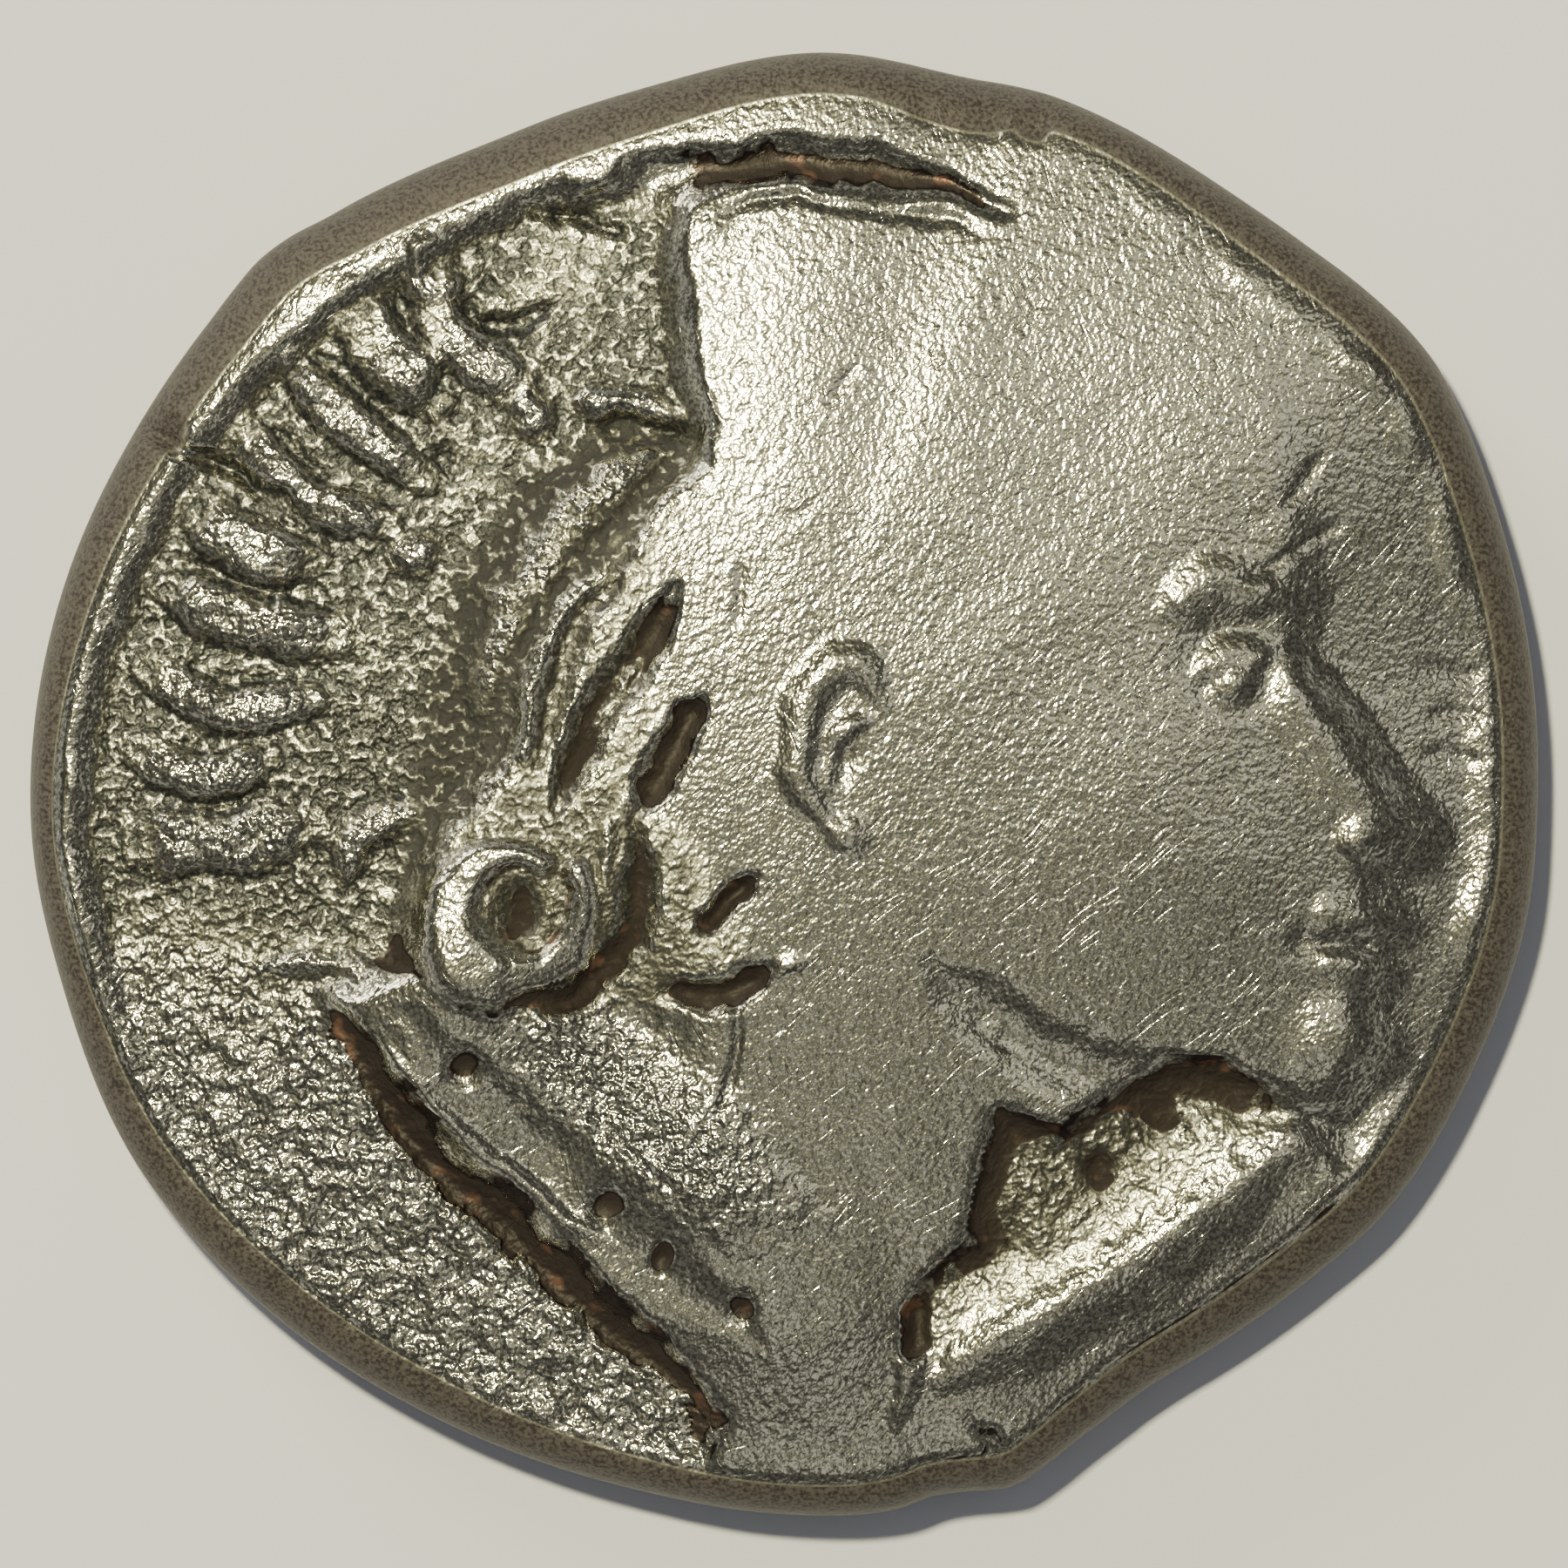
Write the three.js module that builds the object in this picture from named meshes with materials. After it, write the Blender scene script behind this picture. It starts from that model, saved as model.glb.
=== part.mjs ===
// An ancient struck silver drachm, lying on its reverse with the obverse up.
// Millimetres: X is to the right and Y is up as the obverse is read, Z is the thickness.
// The origin is the middle of the flan, on the plane that the reverse's flat land rests on.

import * as THREE from 'three';

// Flan, the struck blank, in mm
const FLAN_WIDTH = 17.0;
const FLAN_HEIGHT = 16.5;
// Level of the widest line of the edge, and of the obverse border above it
const EDGE_LEVEL = 0.95;
const BORDER_LEVEL = 1.65;
// The worn obverse is convex, the reverse is dished inside a flat land
const DOME_RISE = 0.6;
const DISH_DEPTH = 0.32;
const LAND_WIDTH = 1.1;
// How far the edge curves in from its widest line down to the land
const LOWER_ROUND = 0.55;

// Depths and rises of the obverse relief, in mm
const FIELD_DEPTH = 0.14;
const FACE_FIELD_DEPTH = 0.14;
const HOLLOW_DEPTH = 0.2;
const SCOOP_DEPTH = 0.22;
const LOCK_RISE = 0.16;
const CURL_RISE = 0.2;
const DRESS_RISE = 0.12;
const GROOVE_DEPTH = 0.16;
const PELLET_RISE = 0.12;
const FOLD_RISE = 0.06;
const FACE_RISE = 0.09;
const RIM_LIP_RISE = 0.07;
// How far the floor of the left field is flatter than the dome, from 0 to 1
const FIELD_FLATNESS = 0.5;

// The inscription's place: one row of plain curved strokes along the left border, in shallow troughs
const STROKE_COUNT = 9;
const STROKE_RISE = 0.2;
const STROKE_WIDTH = 0.57;
const TROUGH_DEPTH = 0.04;

// The reverse device: a worn star of straight rays that meet in a low boss, in mm
const STAR_RAYS = 8;
const STAR_RISE = 0.12;
const STAR_RADIUS = 4.6;
const RAY_HALF = 0.45;
const RAY_FADE = 0.8;

// How finely the surfaces are faceted: the obverse grid's half span is a power of two
const GRID_REACH = 128;
const COARSEST_TIER = 8;
const RELIEF_TOLERANCE = 0.03;
const REVERSE_RINGS = 10;
const EDGE_SEGMENTS = 120;
const EDGE_STEPS = 3;
const CURVE_STEPS = 8;

const FULL_TURN = 2 * Math.PI;
const HALF_WIDTH = FLAN_WIDTH / 2;
const share = (length) => length / HALF_WIDTH;

// Places on the coin are shares of half the flan's width, from its middle.

// Outline of the flan: angle in degrees and distance from the middle
const OUTLINE = [
  [0, 1.0], [20, 1.012], [33, 1.029], [39, 1.017], [46, 0.996], [54, 0.983],
  [69, 0.98], [76, 0.968], [87, 0.972], [100, 0.944], [108, 0.937], [116, 0.938],
  [129, 0.966], [134, 0.983], [141, 0.978], [151, 0.979], [165, 0.99], [183, 0.999],
  [196, 0.992], [210, 0.994], [225, 0.976], [241, 0.957], [257, 0.953], [270, 0.966],
  [278, 0.972], [283, 0.962], [288, 0.977], [294, 0.952], [301, 0.933], [308, 0.939],
  [317, 0.957], [325, 0.979], [338, 0.989], [350, 1.001],
];

// Width of the rounded band between the widest line and the obverse border
const UPPER_ROUND = [
  [0, 0.046], [45, 0.052], [68, 0.044], [73, 0.07], [78, 0.068], [84, 0.056], [110, 0.062],
  [135, 0.06], [165, 0.042], [185, 0.03], [225, 0.052], [270, 0.04], [315, 0.052],
];

// Rise of the thin lip inside the border, as a share of RIM_LIP_RISE
const RIM_LIP = [
  [0, 0.7], [20, 1], [40, 0.6], [60, 0.2], [90, 0], [120, 0], [160, 0.3], [190, 0.8],
  [220, 0.5], [260, 0.2], [300, 0.1], [330, 0.4],
];

// The sunken field on the left, between the rim, the hair and the dress
const FIELD = [
  [-0.15, 0.76], [-0.3, 0.79], [-0.42, 0.735], [-0.52, 0.675], [-0.61, 0.61], [-0.69, 0.54],
  [-0.77, 0.44], [-0.84, 0.33], [-0.89, 0.2], [-0.92, 0.06], [-0.93, -0.1], [-0.91, -0.25],
  [-0.87, -0.38], [-0.8, -0.5], [-0.71, -0.61], [-0.6, -0.71], [-0.47, -0.79], [-0.3, -0.86],
  [-0.1, -0.9], [-0.08, -0.85], [-0.2, -0.73], [-0.31, -0.63], [-0.42, -0.53], [-0.52, -0.41],
  [-0.6, -0.28], [-0.5, -0.24], [-0.5, -0.16], [-0.46, -0.06], [-0.41, -0.01], [-0.37, 0.07],
  [-0.33, 0.17], [-0.27, 0.27], [-0.19, 0.36], [-0.11, 0.43], [-0.105, 0.47], [-0.125, 0.53],
  [-0.145, 0.61], [-0.145, 0.7],
];

// The field in front of the face, between its profile and the border
const FACE_FIELD = [
  [0.5, 0.8], [0.6, 0.63], [0.675, 0.48], [0.695, 0.34], [0.7, 0.25], [0.68, 0.18],
  [0.76, 0.05], [0.855, -0.06], [0.84, -0.095], [0.785, -0.11], [0.8, -0.16], [0.815, -0.19],
  [0.785, -0.212], [0.8, -0.245], [0.77, -0.29], [0.785, -0.36], [0.75, -0.42], [0.68, -0.44],
  [0.74, -0.5], [0.86, -0.4], [0.92, -0.25], [0.945, -0.05], [0.95, 0.12], [0.93, 0.3],
  [0.89, 0.42], [0.83, 0.54], [0.74, 0.62], [0.6, 0.74],
];

// The broken hollow beside the right-hand fold of the dress
const HOLLOW = [
  [0.29, -0.43], [0.36, -0.46], [0.42, -0.42], [0.5, -0.37], [0.58, -0.37], [0.66, -0.4],
  [0.6, -0.45], [0.5, -0.53], [0.4, -0.62], [0.3, -0.68], [0.2, -0.7], [0.17, -0.66],
  [0.25, -0.61], [0.27, -0.5],
];

// Rounded strands: a path, half its width, and its rise
const RIDGES = [
  // The broad smooth lock that runs from the head band to the nape, and the fold over it
  {
    path: [[-0.14, 0.44], [-0.24, 0.38], [-0.31, 0.29], [-0.37, 0.18], [-0.41, 0.06]],
    half: 0.055,
    rise: LOCK_RISE,
  },
  { path: [[-0.28, 0.5], [-0.2, 0.505], [-0.12, 0.48]], half: 0.022, rise: PELLET_RISE },
  // Thin arch and bar behind the curl
  { path: [[-0.59, -0.13], [-0.565, -0.07], [-0.5, -0.035], [-0.43, -0.03]], half: 0.025, rise: PELLET_RISE },
  { path: [[-0.69, -0.24], [-0.6, -0.235], [-0.52, -0.245]], half: 0.02, rise: PELLET_RISE },
  // Thin fold in the groove over the head
  { path: [[-0.1, 0.785], [0.03, 0.795], [0.15, 0.79], [0.28, 0.757]], half: 0.016, rise: FOLD_RISE },
  // Folds of the dress on the left and on the right
  {
    path: [[-0.41, -0.33], [-0.3, -0.43], [-0.2, -0.5], [-0.1, -0.57], [0.0, -0.63]],
    half: 0.035,
    rise: DRESS_RISE,
  },
  {
    path: [[0.19, -0.76], [0.3, -0.7], [0.42, -0.61], [0.53, -0.52], [0.62, -0.45]],
    half: 0.06,
    rise: DRESS_RISE,
  },
  // Brow, upper lid, side of the nose, lips and ear of the plain worn face
  { path: [[0.5, 0.225], [0.58, 0.265], [0.665, 0.245]], half: 0.04, rise: FACE_RISE },
  { path: [[0.545, 0.15], [0.6, 0.182], [0.65, 0.155]], half: 0.022, rise: FACE_RISE },
  { path: [[0.665, 0.18], [0.73, 0.05], [0.8, -0.06]], half: 0.055, rise: FACE_RISE },
  { path: [[0.7, -0.178], [0.79, -0.175]], half: 0.028, rise: FACE_RISE / 2 },
  { path: [[0.71, -0.245], [0.78, -0.247]], half: 0.028, rise: FACE_RISE / 2 },
  {
    path: [[0.13, 0.11], [0.09, 0.16], [0.03, 0.12], [0.02, 0.02], [0.07, -0.08]],
    half: 0.03,
    rise: FACE_RISE,
  },
];

// Cut lines: a path, half its width, and its depth
const GROOVES = [
  // Groove that follows the top of the head
  {
    path: [[-0.3, 0.75], [-0.2, 0.785], [-0.1, 0.812], [0.02, 0.82], [0.14, 0.805], [0.3, 0.76]],
    half: 0.04,
    rise: GROOVE_DEPTH,
  },
  // Cuts between the locks and round the curl
  { path: [[-0.25, 0.475], [-0.12, 0.452]], half: 0.025, rise: GROOVE_DEPTH },
  { path: [[-0.21, 0.31], [-0.27, 0.2], [-0.31, 0.1], [-0.33, 0.02]], half: 0.02, rise: GROOVE_DEPTH / 2 },
  { path: [[-0.145, 0.25], [-0.2, 0.16], [-0.26, 0.07], [-0.3, -0.03]], half: 0.036, rise: GROOVE_DEPTH },
  { path: [[-0.11, 0.11], [-0.145, 0.05], [-0.19, -0.04]], half: 0.026, rise: GROOVE_DEPTH },
  {
    path: [[-0.2, -0.05], [-0.185, -0.14], [-0.205, -0.21], [-0.27, -0.27], [-0.37, -0.3]],
    half: 0.028,
    rise: GROOVE_DEPTH,
  },
  // Cuts of the leaf-shaped lock in front of the curl
  { path: [[-0.035, -0.125], [-0.08, -0.165], [-0.115, -0.2]], half: 0.02, rise: GROOVE_DEPTH },
  { path: [[-0.02, -0.245], [-0.08, -0.28], [-0.16, -0.28]], half: 0.025, rise: GROOVE_DEPTH },
  // Outer line of the dress and the dip of its border
  {
    path: [[-0.6, -0.28], [-0.52, -0.41], [-0.4, -0.55], [-0.3, -0.64], [-0.2, -0.73], [-0.1, -0.83]],
    half: 0.04,
    rise: GROOVE_DEPTH,
  },
  {
    path: [[-0.5, -0.3], [-0.4, -0.42], [-0.28, -0.54], [-0.16, -0.64], [-0.04, -0.73]],
    half: 0.06,
    rise: DRESS_RISE / 2,
  },
  // Mouth and jaw line of the plain worn face
  { path: [[0.7, -0.213], [0.79, -0.21]], half: 0.016, rise: FACE_RISE / 2 },
  { path: [[0.7, -0.44], [0.5, -0.4], [0.32, -0.34], [0.2, -0.24]], half: 0.06, rise: FACE_RISE },
  // Two cracks of the flan where the folds meet at the foot
  { path: [[0.17, -0.68], [0.175, -0.76]], half: 0.022, rise: GROOVE_DEPTH },
  {
    path: [[0.21, -0.95], [0.265, -0.91], [0.275, -0.87], [0.245, -0.845]],
    half: 0.016,
    rise: GROOVE_DEPTH / 2,
  },
];

// Small round marks: middle, radius, and rise or, when negative, depth
const MARKS = [
  { at: [-0.11, 0.738], radius: 0.045, rise: PELLET_RISE / 2 },
  { at: [-0.33, 0.49], radius: 0.045, rise: PELLET_RISE },
  { at: [-0.49, 0.31], radius: 0.045, rise: PELLET_RISE },
  { at: [-0.38, 0.26], radius: 0.04, rise: PELLET_RISE },
  { at: [-0.445, 0.425], radius: 0.035, rise: -PELLET_RISE / 2 },
  { at: [-0.36, -0.165], radius: 0.055, rise: -CURL_RISE },
  { at: [-0.42, -0.37], radius: 0.035, rise: -PELLET_RISE },
  { at: [-0.23, -0.56], radius: 0.035, rise: -PELLET_RISE },
  { at: [-0.16, -0.63], radius: 0.025, rise: -PELLET_RISE },
  { at: [-0.06, -0.69], radius: 0.03, rise: -PELLET_RISE },
  { at: [0.335, -0.545], radius: 0.085, rise: HOLLOW_DEPTH / 2 },
  { at: [0.49, -0.44], radius: 0.045, rise: -PELLET_RISE },
  { at: [0.42, -0.51], radius: 0.03, rise: -PELLET_RISE },
];

// Soft modelling of the plain worn face: eye socket and eye, cheek, chin, side of the nose, ear
const FACE_FORMS = [
  { at: [0.6, 0.17], radius: 0.1, rise: -FACE_RISE / 2 },
  { at: [0.6, 0.14], radius: 0.045, rise: FACE_RISE },
  { at: [0.5, -0.05], radius: 0.26, rise: FACE_RISE / 2 },
  { at: [0.75, -0.35], radius: 0.1, rise: FACE_RISE },
  { at: [0.77, -0.075], radius: 0.045, rise: FACE_RISE },
  { at: [0.07, 0.03], radius: 0.045, rise: -FACE_RISE / 2 },
];

// A strand grows from each end over this share of its length, from these shares of its width and rise
const TAPER = 0.25;
const END_WIDTH = 0.35;
const END_RISE = 0.3;

// The curl at the nape: a spiral ridge, fat at its left, that winds out from its dark middle
const CURL = {
  at: [-0.36, -0.17],
  start: 60,
  sweep: 330,
  inner: 0.065,
  outer: 0.125,
  half: 0.022,
  fat: 0.03,
};

// Soft scoop between the curl and the inner fold of the dress
const SCOOP = { at: [-0.27, -0.33], radius: 0.2 };

// Softness of the walls of the sunken areas
const WALL_SOFTNESS = 0.03;
// Distance of the rim lip from the border, and half its width
const LIP_INSET = 0.03;
const LIP_HALF = 0.03;

// The band that the strokes fill: angles in degrees, distances from the middle and bends in radians
const STROKE_BAND = { first: 120, last: 189, inner: 0.63, outer: 0.85, shortened: 0.06, bend: 0.03 };
// How the strokes vary along the row: every third is shorter, and bends and widths swing
const SHORT_EVERY = 3;
const BEND_SWING = 0.02;
const BEND_BEAT = 2;
const WIDTH_SWING = 0.22;
const WIDTH_BEAT = 1.7;
// Width of a stroke's trough as a multiple of the stroke's width
const TROUGH_SPREAD = 1.9;

const radians = (degrees) => (degrees * Math.PI) / 180;

const clamp = (value) => Math.min(1, Math.max(0, value));

// A rounded section that is 1 on its middle line and 0 at its edge
const rounded = (distance) => {
  const inside = clamp(1 - distance * distance);
  return inside * inside;
};

const smoothStep = (value) => {
  const t = clamp(value);
  return t * t * (3 - 2 * t);
};

// A smooth closed curve through [angle, value] pairs, read at an angle in radians
const aroundCurve = (pairs) => {
  const count = pairs.length;
  const pairAt = (index) => {
    const wrapped = ((index % count) + count) % count;
    const turns = Math.floor(index / count);
    return [pairs[wrapped][0] + 360 * turns, pairs[wrapped][1]];
  };
  const slopeAt = (index) => {
    const [angleBefore, valueBefore] = pairAt(index - 1);
    const [angleAfter, valueAfter] = pairAt(index + 1);
    return (valueAfter - valueBefore) / (angleAfter - angleBefore);
  };
  return (angle) => {
    const degrees = (((angle * 180) / Math.PI) % 360 + 360) % 360;
    let index = count - 1;
    while (index > 0 && pairs[index][0] > degrees) {
      index -= 1;
    }
    const [startAngle, startValue] = pairAt(index);
    const [endAngle, endValue] = pairAt(index + 1);
    const span = endAngle - startAngle;
    const t = (degrees - startAngle) / span;
    const startWeight = (1 + 2 * t) * (1 - t) * (1 - t);
    const endWeight = t * t * (3 - 2 * t);
    const startPull = t * (1 - t) * (1 - t) * span * slopeAt(index);
    const endPull = t * t * (t - 1) * span * slopeAt(index + 1);
    return startWeight * startValue + endWeight * endValue + startPull + endPull;
  };
};

const outlineRadius = aroundCurve(OUTLINE);
const upperRound = aroundCurve(UPPER_ROUND);
const rimLip = aroundCurve(RIM_LIP);
const borderRadius = (angle) => outlineRadius(angle) - upperRound(angle);
const landRadius = (angle) => outlineRadius(angle) - share(LOWER_ROUND);

// The samples of a smooth open path through its points
const smoothPath = (points) => {
  const spline = new THREE.SplineCurve(points.map(([x, y]) => new THREE.Vector2(x, y)));
  return spline.getPoints((points.length - 1) * CURVE_STEPS);
};

// Distance from a place to a path, and how far along the path the nearest spot lies, from 0 to 1
const nearestOnPath = (x, y, path) => {
  let gap = Infinity;
  let along = 0;
  for (let i = 0; i + 1 < path.length; i += 1) {
    const dx = path[i + 1].x - path[i].x;
    const dy = path[i + 1].y - path[i].y;
    const t = clamp(((x - path[i].x) * dx + (y - path[i].y) * dy) / (dx * dx + dy * dy));
    const distance = Math.hypot(x - path[i].x - t * dx, y - path[i].y - t * dy);
    if (distance < gap) {
      gap = distance;
      along = (i + t) / (path.length - 1);
    }
  }
  return { gap, along };
};

// 1 inside a closed area, 0 outside, with a soft wall along its boundary
const areaMask = (points) => {
  const corners = points.map(([x, y]) => new THREE.Vector2(x, y));
  const boundary = [...corners, corners[0]];
  return (x, y) => {
    let inside = false;
    for (let i = 0; i + 1 < boundary.length; i += 1) {
      const a = boundary[i];
      const b = boundary[i + 1];
      if (a.y > y !== b.y > y && x < ((b.x - a.x) * (y - a.y)) / (b.y - a.y) + a.x) {
        inside = !inside;
      }
    }
    const { gap } = nearestOnPath(x, y, boundary);
    return smoothStep(0.5 + (inside ? gap : -gap) / (2 * WALL_SOFTNESS));
  };
};

const fieldMask = areaMask(FIELD);
const faceFieldMask = areaMask(FACE_FIELD);
const hollowMask = areaMask(HOLLOW);

// The curl's path, as a spiral
const curlPath = () => {
  const steps = 4 * CURVE_STEPS;
  const points = [];
  for (let i = 0; i <= steps; i += 1) {
    const t = i / steps;
    const angle = radians(CURL.start + CURL.sweep * t);
    const radius = CURL.inner + (CURL.outer - CURL.inner) * t;
    const x = CURL.at[0] + radius * Math.cos(angle);
    const y = CURL.at[1] + radius * Math.sin(angle);
    points.push(new THREE.Vector2(x, y));
  }
  return points;
};

// One stroke of the row: a gently bent line that runs in from the rim
const strokePath = (index) => {
  const t = (index + 0.5) / STROKE_COUNT;
  const angle = radians(STROKE_BAND.first + (STROKE_BAND.last - STROKE_BAND.first) * t);
  const inner = STROKE_BAND.inner + (index % SHORT_EVERY === 1 ? STROKE_BAND.shortened : 0);
  const bend = STROKE_BAND.bend + BEND_SWING * Math.cos(BEND_BEAT * index);
  const middle = (inner + STROKE_BAND.outer) / 2;
  return smoothPath([
    [inner * Math.cos(angle), inner * Math.sin(angle)],
    [middle * Math.cos(angle + bend), middle * Math.sin(angle + bend)],
    [STROKE_BAND.outer * Math.cos(angle), STROKE_BAND.outer * Math.sin(angle)],
  ]);
};

// A strand that is thinner and lower towards its ends
const taperedStrand = (path, half, rise) => ({
  path,
  sectionAt: (along) => {
    const full = smoothStep(Math.min(along, 1 - along) / TAPER);
    const width = END_WIDTH + (1 - END_WIDTH) * full;
    const height = END_RISE + (1 - END_RISE) * full;
    return { half: half * width, rise: rise * height };
  },
});

const curlStrand = () => ({
  path: curlPath(),
  sectionAt: (along) => ({ half: CURL.half + CURL.fat * Math.sin(Math.PI * along) ** 2, rise: CURL_RISE }),
});

const ridges = RIDGES.map(({ path, half, rise }) => taperedStrand(smoothPath(path), half, rise));
const grooves = GROOVES.map(({ path, half, rise }) => taperedStrand(smoothPath(path), half, rise));
ridges.push(curlStrand());
for (let index = 0; index < STROKE_COUNT; index += 1) {
  const half = share(STROKE_WIDTH / 2) * (1 + WIDTH_SWING * Math.sin(WIDTH_BEAT * index));
  ridges.push(taperedStrand(strokePath(index), half, STROKE_RISE));
  grooves.push(taperedStrand(strokePath(index), TROUGH_SPREAD * half, TROUGH_DEPTH));
}

const strandRise = (x, y, strand) => {
  const { gap, along } = nearestOnPath(x, y, strand.path);
  const { half, rise } = strand.sectionAt(along);
  return rise * rounded(gap / half);
};

const markRise = (x, y, { at, radius, rise }) => rise * rounded(Math.hypot(x - at[0], y - at[1]) / radius);

// Height of the obverse in mm at a place given in shares
const obverseLevel = (x, y) => {
  const angle = Math.atan2(y, x);
  const reach = Math.hypot(x, y) / borderRadius(angle);
  const inset = borderRadius(angle) - Math.hypot(x, y);
  const dome = DOME_RISE * (1 - reach * reach);
  let level = BORDER_LEVEL + dome;
  level += RIM_LIP_RISE * rimLip(angle) * rounded((inset - LIP_INSET) / LIP_HALF);
  level -= (FIELD_DEPTH + FIELD_FLATNESS * dome) * fieldMask(x, y);
  level -= FACE_FIELD_DEPTH * faceFieldMask(x, y);
  level -= HOLLOW_DEPTH * hollowMask(x, y);
  level -= SCOOP_DEPTH * rounded(Math.hypot(x - SCOOP.at[0], y - SCOOP.at[1]) / SCOOP.radius);
  for (const ridge of ridges) {
    level += strandRise(x, y, ridge);
  }
  for (const groove of grooves) {
    level -= strandRise(x, y, groove);
  }
  for (const mark of [...MARKS, ...FACE_FORMS]) {
    level += markRise(x, y, mark);
  }
  return level;
};

// Level of the reverse in mm: a dish with the star standing down in it, never below the land
const reverseLevel = (x, y) => {
  const radius = Math.hypot(x, y);
  const dishRadius = landRadius(Math.atan2(y, x)) - share(LAND_WIDTH);
  const reach = clamp(radius / dishRadius);
  const dish = DISH_DEPTH * (1 - reach * reach);
  const sector = FULL_TURN / STAR_RAYS;
  const turned = Math.atan2(y, x) / sector;
  const offRay = Math.abs(turned - Math.round(turned)) * sector * radius;
  const fade = smoothStep((share(STAR_RADIUS) - radius) / share(RAY_FADE));
  const onRay = rounded(offRay / share(RAY_HALF)) * fade;
  return dish - Math.min(dish, STAR_RISE * onRay);
};

// The outline's box in shares, which the real width and height are fitted to
const outlineBox = () => {
  const box = new THREE.Box2();
  for (let i = 0; i < EDGE_SEGMENTS; i += 1) {
    const angle = (FULL_TURN * i) / EDGE_SEGMENTS;
    const radius = outlineRadius(angle);
    box.expandByPoint(new THREE.Vector2(radius * Math.cos(angle), radius * Math.sin(angle)));
  }
  return box;
};

const box = outlineBox();
const boxMiddle = box.getCenter(new THREE.Vector2());
const boxSize = box.getSize(new THREE.Vector2());
const inMillimetres = (x, y, level) => [
  ((x - boxMiddle.x) * FLAN_WIDTH) / boxSize.x,
  ((y - boxMiddle.y) * FLAN_HEIGHT) / boxSize.y,
  level,
];

// A ring of points in mm, each with its angle round the coin
const makeRing = (count, pointAt) => Array.from({ length: count }, (_, i) => {
  const angle = (FULL_TURN * i) / count;
  return { angle, point: pointAt(angle) };
});

// The obverse's grid: whole steps across and up, with as many steps to the border all round
const middleOf = (a, b) => [(a[0] + b[0]) / 2, (a[1] + b[1]) / 2];
const gridKey = ([across, up]) => (across + GRID_REACH) * (2 * GRID_REACH + 1) + up + GRID_REACH;
const onBorder = ([across, up]) => Math.abs(across) + Math.abs(up) === GRID_REACH;
const gridAngle = ([across, up]) => {
  const steps = Math.abs(across) + Math.abs(up);
  const quarterTurns = steps === 0 ? 0 : 1 - across / steps;
  const angle = (quarterTurns * FULL_TURN) / 4;
  return up < 0 ? FULL_TURN - angle : angle;
};
const gridPoint = (place) => {
  const angle = gridAngle(place);
  const reach = (Math.abs(place[0]) + Math.abs(place[1])) / GRID_REACH;
  const radius = reach * borderRadius(angle);
  const x = radius * Math.cos(angle);
  const y = radius * Math.sin(angle);
  return inMillimetres(x, y, obverseLevel(x, y));
};

// Every size of grid triangle, from four large ones down, each halved through its longest side
const gridTiers = () => {
  const corners = [[GRID_REACH, 0], [0, GRID_REACH], [-GRID_REACH, 0], [0, -GRID_REACH]];
  const tiers = [corners.map((corner, i) => [corner, corners[(i + 1) % 4], [0, 0]])];
  for (let steps = GRID_REACH; steps > 1; steps /= 2) {
    for (let half = 0; half < 2; half += 1) {
      tiers.push(tiers[tiers.length - 1].flatMap(([a, b, c]) => {
        const middle = middleOf(a, b);
        return [[c, a, middle], [b, c, middle]];
      }));
    }
  }
  return tiers;
};

// The obverse as triangles that are small only where the relief needs it
const obverseSkin = () => {
  const tiers = gridTiers();
  const points = new Map();
  const pointOf = (place) => {
    const key = gridKey(place);
    if (!points.has(key)) {
      points.set(key, { angle: gridAngle(place), point: gridPoint(place), border: onBorder(place) });
    }
    return points.get(key);
  };
  const levelOf = (place) => pointOf(place).point[2];
  // What is lost where a triangle isn't halved, counting all the smaller ones inside it
  const losses = new Map();
  const lossAt = (place) => losses.get(gridKey(place)) ?? 0;
  for (let tier = tiers.length - 2; tier >= 0; tier -= 1) {
    for (const [a, b, c] of tiers[tier]) {
      const middle = middleOf(a, b);
      const own = Math.abs(levelOf(middle) - (levelOf(a) + levelOf(b)) / 2);
      const least = tier < COARSEST_TIER ? Infinity : own;
      const inner = tier + 2 < tiers.length ? Math.max(lossAt(middleOf(c, a)), lossAt(middleOf(b, c))) : 0;
      losses.set(gridKey(middle), Math.max(lossAt(middle), least, inner));
    }
  }
  const triangles = [];
  const visit = (a, b, c, tier) => {
    const middle = middleOf(a, b);
    if (tier + 1 < tiers.length && lossAt(middle) > RELIEF_TOLERANCE) {
      visit(c, a, middle, tier + 1);
      visit(b, c, middle, tier + 1);
    } else {
      triangles.push([a, b, c].map(pointOf));
    }
  };
  for (const [a, b, c] of tiers[0]) {
    visit(a, b, c, 0);
  }
  const used = new Set(triangles.flat());
  const border = [...used].filter((corner) => corner.border).sort((p, q) => p.angle - q.angle);
  return { triangles, used: [...used], border };
};

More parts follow.
